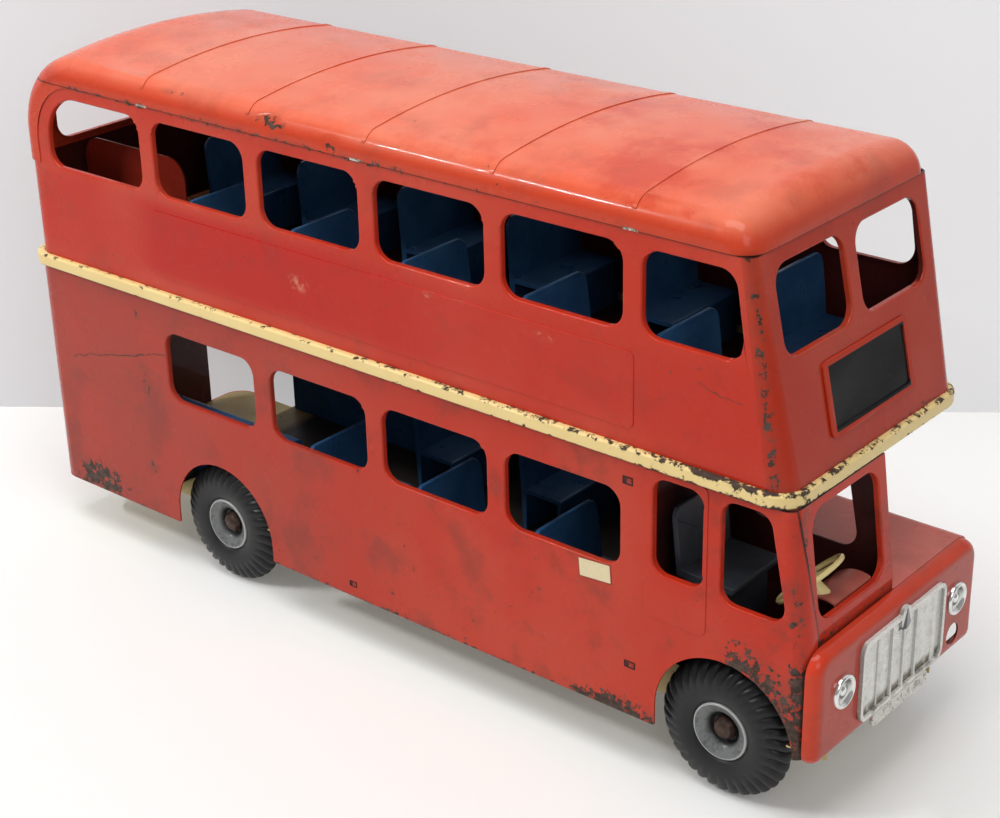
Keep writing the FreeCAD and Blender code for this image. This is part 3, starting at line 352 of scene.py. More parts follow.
def silver_plate():
    """Bright pressed plate with a faceted badge: painted shade in grey on its ridges' steep sides and on one
    facet of the badge, painted shade in brown on the recessed ledge low down, and brown patches along the
    bottom rim and in specks.
    """
    f = Finish("tarnished_silver", roughness=0.3, metallic=0.2, specular=0.4)
    bottom, top = low("grille").z, high("grille").z
    mottle = f.noise(160.0, 7.0, 0.72)
    silver = f.mix(f.ramp(mottle, 0.44, 0.70), (0.80, 0.79, 0.75), (0.60, 0.59, 0.55))
    # Painted shade on the ridges' steep sides.
    steep = f.ramp(f.maths("ABSOLUTE", f.facing((0.0, 1.0, 0.0))), 0.25, 0.7, 0.0, 0.7)
    silver = f.mix(steep, silver, (0.25, 0.245, 0.235))
    recessed = f.ramp(f.axis("X"), high("grille").x - 1.3 * MM, high("grille").x - 1.7 * MM)
    ledge = f.both(recessed, f.ramp(f.axis("Z"), bottom + 9 * MM, bottom + 5 * MM))
    rim = f.both(f.near("Z", bottom + 2 * MM, 2.5 * MM), f.ramp(f.noise(120.0, 4.0), 0.45, 0.6))
    # grime holds painted shade on the recessed ledge, brown patches along the bottom rim and brown specks.
    grime = f.most(f.both(ledge, f.ramp(f.noise(200.0, 5.0), 0.34, 0.50, 0.3, 0.9)), f.both(rim, 0.8),
                   f.ramp(f.noise(300.0, 5.0, 0.7), 0.68, 0.72))
    silver = f.mix(grime, silver, (0.155, 0.125, 0.085))
    tall = f.maths("SUBTRACT", top + 0.5 * MM, f.axis("Z"))
    across = f.maths("ABSOLUTE", f.axis("Y"))
    facet = f.maths("SUBTRACT", f.both(tall, 0.40), across)
    badge = f.both(f.ramp(facet, 0.0, 0.5 * MM), f.ramp(tall, 14.0 * MM, 13.0 * MM))
    # Painted shade on the badge: the facet towards -Y is painted dark, the other lighter.
    left = f.ramp(f.axis("Y"), -0.4 * MM, 0.4 * MM)
    silver = f.mix(badge, silver, f.mix(left, (0.10, 0.10, 0.11), (0.33, 0.33, 0.33)))
    f.bump(f.maths("ADD", f.both(mottle, 0.03), f.both(badge, f.both(facet, 300.0))))
    return f.done(silver, f.ramp(mottle, 0.3, 0.7, 0.18, 0.42))


def plate_metal():
    """Blank rounded plate, its silvering broken all over."""
    f = Finish("mottled_plate", roughness=0.3, metallic=0.4, specular=0.4)
    mottle = f.noise(420.0, 6.0, 0.75)
    edge = f.maths("ABSOLUTE", f.maths("SUBTRACT", f.axis("Z"), middle("number_plate").z))
    rim = f.ramp(edge, 2.6 * MM, 3.4 * MM)
    silver = f.mix(f.ramp(mottle, 0.46, 0.62), (0.74, 0.73, 0.67), (0.27, 0.25, 0.22))
    f.bump(f.both(mottle, 0.14))
    return f.done(f.mix(f.both(rim, 0.6), silver, (0.80, 0.79, 0.74)), f.ramp(mottle, 0.3, 0.7, 0.2, 0.5))


def chrome():
    """Bright bezel and centre; the dish between them has a painted dark reflection where it faces down."""
    f = Finish("lamp_chrome", roughness=0.12, metallic=1.0)
    haze = f.noise(160.0, 5.0)
    bright = f.mix(haze, (0.86, 0.86, 0.85), (0.70, 0.70, 0.68))
    axis = abs(middle("headlamp_left").y)
    y = f.maths("SUBTRACT", f.maths("ABSOLUTE", f.axis("Y")), axis)
    z = f.maths("SUBTRACT", f.axis("Z"), middle("headlamp_left").z)
    radius = f.maths("SQRT", f.maths("ADD", f.both(y, y), f.both(z, z)))
    dish = f.both(f.ramp(radius, 6.9 * MM, 6.4 * MM), f.ramp(radius, 2.2 * MM, 2.9 * MM))
    # Painted reflection: the dish is painted dark where it faces down.
    shaded = f.both(dish, f.ramp(f.facing((0.0, 0.35, -0.94)), -0.35, 0.25, 0.15, 0.92))
    return f.done(f.mix(shaded, bright, (0.05, 0.047, 0.045)), f.ramp(haze, 0.3, 0.7, 0.08, 0.2))


def rubber():
    """Black rubber with a little dust in clouds."""
    f = Finish("moulded_rubber", roughness=0.42, specular=0.30)
    dust = f.noise(45.0, 5.0, 0.6)
    f.bump(f.both(f.noise(500.0, 3.0), 0.05))
    return f.done(f.mix(f.ramp(dust, 0.4, 0.75), (0.0105, 0.011, 0.0125), (0.021, 0.021, 0.0215)),
                  f.ramp(dust, 0.3, 0.7, 0.34, 0.5))


def from_axles(f):
    """Distance from the nearer axle."""
    half = (FRONT_WHEEL_X - REAR_WHEEL_X) / 2
    from_middle = f.maths("ABSOLUTE", f.maths("SUBTRACT", f.axis("X"), REAR_WHEEL_X + half))
    x = f.maths("SUBTRACT", from_middle, half)
    z = f.maths("SUBTRACT", f.axis("Z"), TYRE_R)
    return f.maths("SQRT", f.maths("ADD", f.both(x, x), f.both(z, z)))


def wheel_zinc():
    """Dull zinc-grey, with painted shade down in the funnel and a painted highlight on the lip."""
    f = Finish("grey_wheel_paint", roughness=0.40, metallic=0.25, specular=0.4)
    dirt = f.noise(300.0, 6.0, 0.7)
    radius = from_axles(f)
    grey = f.mix(f.ramp(dirt, 0.46, 0.66), (0.175, 0.185, 0.185), (0.10, 0.105, 0.10))
    # Painted shade down in the funnel.
    grey = f.mix(f.ramp(radius, 11.5 * MM, 8.2 * MM), grey, (0.022, 0.022, 0.022))
    # Painted highlight on the lip.
    grey = f.mix(f.ramp(radius, 14.9 * MM, 15.4 * MM), grey, (0.42, 0.43, 0.42))
    return f.done(grey, f.ramp(dirt, 0.3, 0.7, 0.28, 0.5))


def browned_steel():
    """Bare steel of the axles, rusted brown."""
    f = Finish("browned_steel", roughness=0.36, metallic=0.35, specular=0.5)
    rust = f.noise(300.0, 5.0, 0.65)
    f.bump(f.both(rust, 0.08))
    return f.done(f.mix(f.ramp(rust, 0.4, 0.65), (0.070, 0.034, 0.022), (0.030, 0.015, 0.011)),
                  f.ramp(rust, 0.3, 0.7, 0.28, 0.5))


def blind():
    """Raised red border round a blank black field."""
    f = Finish("blind_black", roughness=0.3, specular=0.12)
    across = f.maths("ABSOLUTE", f.axis("Y"))
    tall = f.maths("ABSOLUTE", f.maths("SUBTRACT", f.axis("Z"), middle("destination_box").z))
    field = f.both(f.ramp(across, 35.2 * MM, 34.8 * MM), f.ramp(tall, 16.4 * MM, 16.0 * MM))
    rubbed = f.ramp(f.noise(120.0, 6.0, 0.7), 0.58, 0.72)
    black = f.mix(rubbed, (0.0035, 0.0035, 0.0045), (0.020, 0.0195, 0.019))
    # The border's darker front red is painted shade.
    red = f.mix(f.noise(30.0), SHADED_FRONT_RED, (0.46, 0.042, 0.018))
    return f.done(f.mix(field, red, black), f.ramp(rubbed, 0.0, 1.0, 0.30, 0.45))


def paper():
    """Yellowed paper of the blank label."""
    f = Finish("old_label", roughness=0.6, specular=0.3)
    fibres = f.noise(500.0, 5.0, 0.6)
    return f.done(f.mix(fibres, (0.80, 0.71, 0.46), (0.68, 0.56, 0.34)), f.ramp(fibres, 0.3, 0.7, 0.5, 0.7))


def bare_metal():
    """Bright tinplate of the roof's tabs, rubbed and spotted."""
    f = Finish("rubbed_tinplate", roughness=0.3, metallic=0.9)
    wear = f.noise(400.0, 5.0, 0.65)
    return f.done(f.mix(f.ramp(wear, 0.4, 0.6), (0.62, 0.58, 0.52), (0.20, 0.12, 0.08)),
                  f.ramp(wear, 0.3, 0.7, 0.25, 0.5))


def arch_rust(f):
    """The front half of the front wheel arch."""
    offset = f.vector("SUBTRACT", f.place, (ARCH_X, 0.0, TYRE_R))
    away = f.vector("LENGTH", f.vector("MULTIPLY", offset, (1.0, 0.0, 1.0)), out="Value")
    ahead = f.ramp(f.axis("X"), ARCH_X - 18 * MM, ARCH_X + 14 * MM)
    return f.both(f.ramp(away, ARCH_R + 26 * MM, ARCH_R + 2 * MM), ahead)


def rusty_places(f):
    """Heavy wear of the cab side: round the front arch, up the cab's front edge, and along the sill."""
    edge = f.stroke((CAB_X - 4 * MM, CAB_Y, SILL_Z), (CAB_X - 2 * MM, CAB_Y, SILL_Z + 62 * MM), 0.012)
    higher = f.stroke((CAB_X - 2 * MM, CAB_Y, SILL_Z + 60 * MM), (CAB_X - 9 * MM, CAB_Y, BAND_LOW), 0.006)
    spot = f.patch((CAB_X - 8 * MM, CAB_Y, BAND_LOW - 58.8 * MM), (0.0036, 0.02, 0.0036))
    sills = f.most(f.patch((0.165, CAB_Y, SILL_Z), (0.045, 0.05, 0.014)),
                   f.patch((-0.243, CAB_Y, SILL_Z + 8 * MM), (0.040, 0.05, 0.015)),
                   f.both(f.near("Z", SILL_Z, 0.0032), 0.75))
    marks = f.most(f.patch((-0.194, CAB_Y, BAND_LOW - 14.5 * MM), (0.0065, 0.02, 0.0065)),
                   f.patch((-0.190, CAB_Y, SILL_Z + 31.5 * MM), (0.008, 0.02, 0.007)),
                   f.both(f.patch((-0.190, CAB_Y, SILL_Z + 88 * MM), (0.006, 0.02, 0.022)), 0.8))
    return f.most(arch_rust(f), edge, f.both(higher, 0.50), spot, sills, f.both(marks, 0.9))


def upper_wear(f):
    """Chips down the front bend of the upper side, and under the roof seam towards the back."""
    bend = f.stroke((BEND_TOP, CAB_Y, SEAM_Z), (BEND_TOP + 15 * MM, CAB_Y, BAND_HIGH), 0.005)
    seam = f.both(f.near("Z", SEAM_Z, 0.003), f.ramp(f.axis("X"), 0.20, -0.05, 0.3, 0.9))
    return f.most(f.both(bend, 0.75), seam)


def front_wear(f):
    """Chips down the rounded corner on the cab side, and along the foot of the upper front."""
    corner = f.stroke((0.2405, CAB_Y + 1.5 * MM, SEAM_Z), (0.2590, CAB_Y + 1.0 * MM, BAND_HIGH), 0.0045)
    return f.most(f.both(corner, 0.75), f.both(f.near("Z", BAND_HIGH, 0.005), 0.55))


def roof_wear(f):
    """Bare places along the roof's lower edge, and three scrapes on its shoulder."""
    edge = f.both(f.near("Z", SEAM_Z + 0.6 * MM, 0.0030), f.ramp(f.axis("X"), 0.10, -0.02, 0.2, 0.72))
    scraped = f.most(f.patch((-0.065, CAB_Y, SEAM_Z + 9 * MM), (0.022, 0.010, 0.006)),
                     f.patch((-0.019, CAB_Y, SEAM_Z + 3 * MM), (0.014, 0.010, 0.005)),
                     f.patch((-0.142, CAB_Y, SEAM_Z + 12 * MM), (0.018, 0.008, 0.003)))
    return f.most(edge, f.both(scraped, 0.85))


def cab_wear(f):
    """Chips up the outer edge of the windscreen panel and over the nose."""
    return f.most(f.both(f.near("Y", CAB_Y + 8 * MM, 0.006), 0.75), f.both(f.near("Z", NOSE_TOP, 0.010), 0.6))


def nose_wear(f):
    """Chips on the nose's side walls and along its foot."""
    edge = f.ramp(f.axis("X"), NOSE_X - 6 * MM, NOSE_X - 14 * MM, 0.0, 0.7)
    return f.most(edge, f.both(f.near("Z", NOSE_LOW, 0.004), 0.6))


def shade_in_seams(*levels):
    """Gives painted shade in the open seams at some heights."""
    def seam_shade(f):
        return f.most(*(f.near("Z", z, 0.55 * MM) for z in levels))
    return seam_shade


def cab_seam(f):
    """Painted shade in the open seam where the side's return lies on the windscreen panel, and in the gap
    under the band.
    """
    foot = (CAB_X, CAB_Y + 12.4 * MM, NOSE_TOP - 2 * MM)
    seam = f.stroke(foot, (CAB_X - 9.4 * MM, CAB_Y + 4.4 * MM, BAND_LOW), 0.0018)
    seam = f.both(seam, f.ramp(f.noise(60.0, 3.0), 0.28, 0.40, 0.55, 1.0))
    return f.most(seam, f.near("Z", BAND_LOW, 0.7 * MM))


def sides_deeper(f):
    """The raised advertisement panel and the side behind its middle keep a deeper red."""
    level = f.ramp(f.axis("Z"), BAND_HIGH + 4 * MM, BAND_HIGH + 16 * MM)
    below = f.ramp(f.axis("Z"), BAND_HIGH + 60 * MM, BAND_HIGH + 50 * MM)
    along = f.ramp(f.axis("X"), 0.14, -0.08, 0.25, 1.0)
    behind = f.ramp(f.axis("X"), -0.195, -0.165, 0.3, 1.0)
    return f.both(f.both(level, below), f.both(along, behind)), DEEP_RED


def lower_dull(f):
    """The lower sides are duller towards the back, in streaks."""
    rear = f.ramp(f.axis("X"), 0.12, -0.20, 0.0, 0.95)
    streaks = f.ramp(f.noise(22.0, 4.0, 0.6), 0.35, 0.60, 0.75, 1.0)
    return f.both(rear, streaks), DULL_RED


def nose_lit_and_reflected(f):
    """Painted light on the nose: its flat face is painted a dull pink, a painted reflection of the pale
    floor, and its rolled edges keep the brighter red, a painted highlight.
    """
    return f.ramp(f.facing((1.0, 0.0, 0.0)), 0.80, 0.985), NOSE_FLOOR_REFLECTION


def roof_blots_and_shade(f):
    """Deeper blots over the front half of the roof, and painted shade on its lower edge."""
    blot = f.both(f.ramp(f.noise(13.0, 8.0, 0.65), 0.46, 0.60), f.ramp(f.axis("X"), -0.08, 0.16, 0.15, 0.85))
    shaded_low_edge = f.ramp(f.axis("Z"), SEAM_Z + 16 * MM, SEAM_Z + 5 * MM, 0.0, 0.95)
    return f.most(blot, shaded_low_edge), ROOF_DEEP


red = enamel("body_red", RED, RED_FADED, 0.9, worn=rusty_places, shade=lower_dull, seam_shade=cab_seam, grime=0.45,
             lines=(((-0.258, CAB_Y, BAND_LOW - 58 * MM), (-0.170, CAB_Y, BAND_LOW - 34 * MM), 0.55 * MM),))
cab_red = enamel("cab_side_red", RED, RED_FADED, 0.9, worn=cab_wear, seam_shade=cab_seam, inner=ENDS, grime=0.4)
far_red = enamel("far_side_red", RED, RED_FADED, 0.9, shade=lower_dull, seam_shade=shade_in_seams(BAND_LOW), grime=0.45)
rear_red = enamel("rear_red", RED, RED_FADED, 0.8, inner=ENDS, seam_shade=shade_in_seams(BAND_LOW, BAND_HIGH))
upper_red = enamel("upper_red", RED, RED_FADED, 0.5, shade=sides_deeper, worn=upper_wear,
                   seam_shade=shade_in_seams(SEAM_Z),
                   lines=(((0.216, CAB_Y, BAND_HIGH + 44 * MM), (0.240, CAB_Y, BAND_HIGH + 39 * MM),
                           0.35 * MM),),
                   scuffs=(((-0.050, CAB_Y, BAND_HIGH + 32 * MM), (0.010, 0.02, 0.007)),
                           ((0.122, CAB_Y, BAND_HIGH + 44 * MM), (0.009, 0.02, 0.003)),
                           ((0.046, CAB_Y, BAND_HIGH + 47 * MM), (0.005, 0.02, 0.004))))
# The front's darker reds are painted shade.
front_red = enamel("front_red", SHADED_FRONT_RED, (0.44, 0.045, 0.020), 0.8, inner=ENDS, worn=front_wear,
                   seam_shade=shade_in_seams(SEAM_Z))
nose_red = enamel("nose_red", LIT_NOSE_RED, (0.60, 0.058, 0.024), 0.8, inner=((0.2, 0.0, 0.03), (1.0, 0.3, 0.3)),
                  shade=nose_lit_and_reflected, worn=nose_wear, roughness=0.2)
# The bonnet's lighter, pinker reds are painted light and painted reflection.
bonnet_red = enamel("bonnet_red", LIT_BONNET_RED, (0.64, 0.15, 0.11), 0.9,
                    inner=((0.23, 0.04, 0.0), (0.1, 0.1, 1.0)))
roof_red = enamel("roof_orange", ROOF_ORANGE, ROOF_PALE, 0.75, roughness=0.25, shade=roof_blots_and_shade,
                  worn=roof_wear, seam_shade=shade_in_seams(SEAM_Z), inner=((0.0, 0.0, SEAM_Z - 0.05), (0.0, 1.0, 1.0)),
                  dents=(((-0.065, CAB_Y, SEAM_Z + 8 * MM), (0.012, 0.012, 0.007), 1.0),
                         ((-0.019, CAB_Y, SEAM_Z + 5 * MM), (0.010, 0.012, 0.006), 0.7)))
small_red = worn_paint("fittings_red", (0.36, 0.030, 0.014), (0.27, 0.022, 0.011), 0.36, 0.72)
cover_red = worn_paint("cover_red", (0.40, 0.10, 0.075), (0.30, 0.075, 0.055), 0.36, 0.72)
inner_red = worn_paint("inner_maroon", (0.042, 0.008, 0.007), (0.070, 0.014, 0.011), 0.5, 0.72)
khaki = worn_paint("chassis_khaki", KHAKI, (0.44, 0.33, 0.14), 0.45, 0.66, lower_deck_shade)
blue = worn_paint("seat_blue", BLUE, (0.035, 0.12, 0.26), 0.36, 0.74)
seat_edge_wear_and_highlight = worn_paint("worn_seat_edge_and_highlight", SEAT_EDGE_WEAR_AND_HIGHLIGHT, (0.16, 0.20, 0.25), 0.36, 0.70)
grey_blue = worn_paint("driver_seat_grey", (0.030, 0.035, 0.046), (0.050, 0.056, 0.068), 0.42, 0.72)
cream = worn_paint("steering_cream", (0.84, 0.70, 0.33), (0.72, 0.56, 0.24), 0.3, 0.76)
silver, tinplate = silver_plate(), bare_metal()
tyre_rubber, hub_grey, steel, lamp_chrome = rubber(), wheel_zinc(), browned_steel(), chrome()

FINISHES = {
    "lower_side_right": red, "lower_side_left": far_red, "lower_rear_panel": rear_red,
    "upper_side_right": upper_red, "upper_side_left": upper_red, "upper_rear": rear_red,
    "upper_front": front_red, "cab_front": cab_red, "nose_panel": nose_red, "bonnet": bonnet_red,
    "roof": roof_red, "waist_band": band_cream(), "stair_guard": small_red, "column_cover": cover_red,
    "chassis_floor": khaki, "rear_platform": khaki, "upper_floor": inner_red, "bulkhead": inner_red,
    "cab_floor": inner_red, "cab_left_wall": inner_red, "grille": silver, "number_plate": plate_metal(),
    "headlamp_left": lamp_chrome, "headlamp_right": lamp_chrome, "destination_box": blind(),
    "driver_seat": grey_blue, "steering_wheel": cream, "steering_column": cream,
    "front_axle": steel, "rear_axle": steel,
}
for name, piece in nodes.items():
    kind = name.split("_")[0]
    finish = {"tyre": tyre_rubber, "hub": hub_grey}.get(kind) or FINISHES.get(name, blue)
    piece.data.materials.clear()
    piece.data.materials.append(finish)


# ---------------------------------------------------------------- making pieces
def only(*things):
    bpy.ops.object.select_all(action="DESELECT")
    for thing in things:
        thing.select_set(True)
    bpy.context.view_layer.objects.active = things[-1]


def choose(piece, kind, test):
    """Opens a piece for editing with only the vertices, edges or faces that pass a test selected."""
    only(piece)
    bpy.ops.object.mode_set(mode="EDIT")
    bpy.ops.mesh.select_mode(type={"vertices": "VERT", "edges": "EDGE", "polygons": "FACE"}[kind])
    bpy.ops.mesh.select_all(action="DESELECT")
    bpy.ops.object.mode_set(mode="OBJECT")
    for element in getattr(piece.data, kind):
        element.select = test(element)
    bpy.ops.object.mode_set(mode="EDIT")


def close():
    bpy.ops.object.mode_set(mode="OBJECT")


def finished(piece, name, body, material, smooth=35.0, replaces=(), second=None):
    """Names a piece, smooths it, settles its place into its mesh and lets it ride on its body."""
    only(piece)
    bpy.ops.object.transform_apply(location=True, rotation=True, scale=True)
    bpy.ops.object.shade_smooth_by_angle(angle=math.radians(smooth))
    piece.name = name
    piece.data.name = name
    piece.data.materials.clear()
    piece.data.materials.append(material)
    if second:
        piece.data.materials.append(second)
    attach(piece, body)
    if replaces:
        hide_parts(*replaces)
    return piece


def box_start(size, centre):
    bpy.ops.object.select_all(action="DESELECT")
    bpy.ops.mesh.primitive_cube_add(size=1, location=centre)
    piece = bpy.context.object
    piece.scale = size
    bpy.ops.object.transform_apply(location=True, rotation=True, scale=True)
    return piece


def rounded(piece, width):
    """Rolls over the edges of a small box."""
    only(piece)
    bevel = piece.modifiers.new("rolled_edges", "BEVEL")
    bevel.width = width
    bevel.segments = 2
    bevel.limit_method = "ANGLE"
    bevel.angle_limit = math.radians(30)
    bevel.use_clamp_overlap = False
    bevel.miter_outer = "MITER_ARC"
    bpy.ops.object.modifier_apply(modifier=bevel.name)


def spun(outline, axis, steps):
    """A turned form round the origin. The outline is (radius, distance along the axis)."""
    across = Vector((0, 0, 1))
    points = [across * radius + axis * along for radius, along in outline]
    bpy.ops.object.select_all(action="DESELECT")
    bpy.ops.mesh.primitive_plane_add(size=MM, location=points[0])
    piece = bpy.context.object
    bpy.ops.object.transform_apply(location=True, rotation=True, scale=True)
    bpy.ops.object.mode_set(mode="EDIT")
    bpy.ops.mesh.select_mode(type="VERT")
    bpy.ops.mesh.select_all(action="SELECT")
    bpy.ops.mesh.merge(type="CENTER")
    for here, there in zip(points, points[1:]):
        bpy.ops.mesh.extrude_vertices_move(TRANSFORM_OT_translate={"value": there - here})
    bpy.ops.mesh.select_all(action="SELECT")
    bpy.ops.mesh.spin(steps=steps, angle=2 * math.pi, center=(0, 0, 0), axis=axis)
    bpy.ops.mesh.select_all(action="SELECT")
    bpy.ops.mesh.remove_doubles(threshold=0.01 * MM)
    bpy.ops.mesh.normals_make_consistent(inside=False)
    close()
    return piece


def again(form, place, half_turn=False):
    """A form made round the origin, put at a place with its own mesh, and turned round if need be."""
    piece = form.copy()
    piece.data = form.data.copy()
    bpy.context.scene.collection.objects.link(piece)
    turn = Matrix.Rotation(math.pi if half_turn else 0.0, 4, "Z")
    piece.matrix_world = Matrix.Translation(place) @ turn
    return piece


def width_from(mesh, face, key):
    """How wide a face is, measured straight in from the middle of one of its edges."""
    points = [mesh.vertices[i].co for i in face.vertices]
    ring = list(zip(points, points[1:] + points[:1]))
    order = [tuple(sorted(pair)) for pair in zip(face.vertices, list(face.vertices[1:]) + [face.vertices[0]])]
    start, end = ring[order.index(key)]
    centre, along = (start + end) / 2, (end - start).normalized()
    inward = face.normal.cross(along)
    found = 1.0
    for here, there in ring:
        across, beyond = (here - centre).dot(along), (there - centre).dot(along)
        if across * beyond < 0:
            share = across / (across - beyond)
            depth = (here - centre).dot(inward) * (1 - share) + (there - centre).dot(inward) * share
            if depth > 0.01 * MM:
                found = min(found, depth)
    return found


def outer_edges(piece, narrowest):
    """Sharp outward edges of a mesh whose two faces are wider than the narrowest."""
    mesh = piece.data
    beside = {}
    for face in mesh.polygons:
        for key in face.edge_keys:
            beside.setdefault(key, []).append(face)
    found = set()
    for edge in mesh.edges:
        key = tuple(sorted(edge.vertices))
        pair = beside.get(key, [])
        if len(pair) != 2 or pair[0].normal.angle(pair[1].normal, 0.0) < math.radians(38):
            continue
        start, end = (mesh.vertices[i].co for i in edge.vertices)
        inner = max(pair, key=lambda f: f.area)
        other = pair[0] if inner is pair[1] else pair[1]
        outward = inner.normal.dot(other.center - (start + end) / 2) < 0
        if outward and min(width_from(mesh, face, key) for face in pair) > narrowest:
            found.add(edge.index)
    return found


def pressing(node, width, narrowest=2.0 * MM, edge_finish=None, cuts=()):
    """The node's own sheet with its outer edges rolled over. Cuts part its ring-shaped faces first."""
    piece = nodes[node].copy()
    piece.data = nodes[node].data.copy()
    for key in list(piece.keys()):
        del piece[key]
    piece.parent = None
    bpy.context.scene.collection.objects.link(piece)
    choose(piece, "vertices", lambda v: True)
    bpy.ops.mesh.remove_doubles(threshold=0.002 * MM)
    bpy.ops.mesh.dissolve_limited(angle_limit=math.radians(1.0), use_dissolve_boundaries=False)
    for direction in cuts:
        bpy.ops.mesh.select_all(action="SELECT")
        bpy.ops.mesh.bisect(plane_co=middle(node), plane_no=direction)
    close()
    material = nodes[node].data.materials[0]
    if edge_finish:
        piece.data.materials.append(edge_finish)
    chosen = outer_edges(piece, narrowest)
    choose(piece, "edges", lambda e: e.index in chosen)
    bpy.ops.mesh.bevel(offset_type="OFFSET", offset=width, segments=3, affect="EDGES", clamp_overlap=False,
                       miter_outer="ARC", material=1 if edge_finish else -1)
    close()
    finished(piece, node + "_pressed", "bus_body", material, 32.0, (node,), edge_finish)
    even = piece.modifiers.new("even_shading", "WEIGHTED_NORMAL")
    even.keep_sharp = True
    bpy.ops.object.modifier_apply(modifier=even.name)


ACROSS, AHEAD = Vector((0, 1, 0)), Vector((1, 0, 0))
LUGS, LUG_STEPS = 34, 5
# Outlines are (radius, distance along the axis) in millimetres.
TYRE_OUTLINE = ((16.0, 4.8), (16.6, 6.4), (18.8, 7.8), (22.5, 8.5), (25.6, 8.5), (28.2, 8.2), (31.0, 7.5),
                (33.6, 6.4), (35.8, 4.9), (37.4, 3.0), (38.2, 1.4))
GROOVE_RINGS = ((27.0, 30.0, 0.30), (30.0, 33.0, 0.75), (33.0, 40.0, 1.0))  # from, to, share of the depth
GROOVE_DEPTHS = (1.5, 0.15, 0.0, 0.0, 0.45)       # round one lug
TWIST_INSIDE = (36.9, 35.6, 33.7, 31.3, 28.6)     # radii inside which the tread turns one step further
TWIST_STEP = math.radians(1.1)
HUB_OUTLINE = ((16.2, -8.0), (16.2, -0.7), (15.9, -0.2), (15.3, 0.0), (14.8, -0.15), (14.1, -0.6),
               (12.2, -1.8), (10.6, -2.8), (9.6, -3.7), (8.8, -5.0), (8.2, -6.5), (7.4, -7.4), (4.0, -7.5))
LAMP_R = 9.2
LAMP_OUTLINE = ((0.0, -0.9), (1.2, -1.0), (2.3, -1.5), (2.9, -2.3), (4.6, -2.2), (6.2, -1.6), (7.0, -0.8),
                (7.5, -0.1), (8.1, 0.0), (8.8, -0.4), (LAMP_R, -1.2), (LAMP_R, -2.6), (0.0, -2.6))


def tyre_form():
    """Moulded balloon tyre, its lugs cut by narrow curved grooves that fade out down the walls."""
    side = [(r * MM, y * MM) for r, y in TYRE_OUTLINE]
    ring = side + [(TYRE_R, 0.0)] + [(r, -y) for r, y in reversed(side)] + [side[0]]
    steps = LUGS * LUG_STEPS
    form = spun(ring, ACROSS, steps)

    def radius(vertex):
        return math.hypot(vertex.co.x, vertex.co.z)

    def phase(vertex):
        turn = math.atan2(vertex.co.x, vertex.co.z) / (2 * math.pi)
        return round(turn * steps + steps + 2) % LUG_STEPS

    for index, depth in enumerate(GROOVE_DEPTHS):
        for near_r, far_r, share in GROOVE_RINGS:
            if depth == 0:
                continue
            choose(form, "vertices", lambda v: near_r * MM < radius(v) <= far_r * MM and phase(v) == index)
            bpy.ops.transform.shrink_fatten(value=-depth * share * MM)
            close()
    for limit in TWIST_INSIDE:
        choose(form, "vertices", lambda v: radius(v) < limit * MM)
        bpy.ops.transform.rotate(value=TWIST_STEP, orient_axis="Y", center_override=(0, 0, 0))
        close()
    return form


def hub_form():
    """Pressed rim and smooth funnel, facing +Y, running in to the axle's cap."""
    depth = (high("hub_front_left").y - low("hub_front_left").y) / MM
    back = ((4.0, 0.2 - depth), (6.0, -depth), (6.4, -15.0), (16.2, -14.0), HUB_OUTLINE[0])
    return spun([(r * MM, y * MM) for r, y in HUB_OUTLINE + back], ACROSS, 72)


def lamp_form():
    """Bright bezel round a dished reflector with a small domed centre, facing +X."""
    scale = (high("headlamp_left").y - low("headlamp_left").y) / 2 / LAMP_R
    return spun([(r * scale, x * MM) for r, x in LAMP_OUTLINE], AHEAD, 64)


def wheels():
    tyre, hub = tyre_form(), hub_form()
    for wheel in WHEELS:
        node = "tyre_" + wheel
        finished(again(tyre, middle(node)), node + "_moulded", "wheel_" + wheel, tyre_rubber,
                 38.0, (node,))
        node = "hub_" + wheel
        centre = middle(node)
        centre.y = max(low(node).y, high(node).y, key=abs)
        finished(again(hub, centre, half_turn=centre.y < 0), node + "_pressed", "wheel_" + wheel, hub_grey,
                 50.0, (node,))
    for form in (tyre, hub):
        bpy.data.objects.remove(form)


def lamps():
    form = lamp_form()
    for side in ("left", "right"):
        node = "headlamp_" + side
        centre = middle(node)
        centre.x = high(node).x
        finished(again(form, centre), node + "_dished", "bus_body", lamp_chrome, 60.0, (node,))
    bpy.data.objects.remove(form)


LABEL_SIZE = Vector((21.2, 0.14, 11.4)) * MM
LABEL_BORDER = 0.7 * MM
LABEL_ASKEW = math.radians(4.6)


def label():
    """Blank cream label with a thin dark border on the cab side, put on a little askew."""
    centre = Vector((0.154, CAB_Y - 0.08 * MM, BAND_LOW - 69.5 * MM))
    inside = LABEL_SIZE - 2 * LABEL_BORDER * Vector((1, 0, 1))
    border = box_start(LABEL_SIZE, centre)
    face = box_start(inside, centre - 0.06 * MM * ACROSS)
    for piece in (border, face):
        choose(piece, "vertices", lambda v: True)
        bpy.ops.transform.rotate(value=LABEL_ASKEW, orient_axis="Y", center_override=centre)
        close()
    finished(border, "label_border", "bus_body", small_red)
    choose(face, "polygons", lambda p: p.normal.y < -0.9)
    bpy.ops.mesh.inset(thickness=0.4 * MM, depth=0.0)
    close()
    finished(face, "label_face", "bus_body", paper())


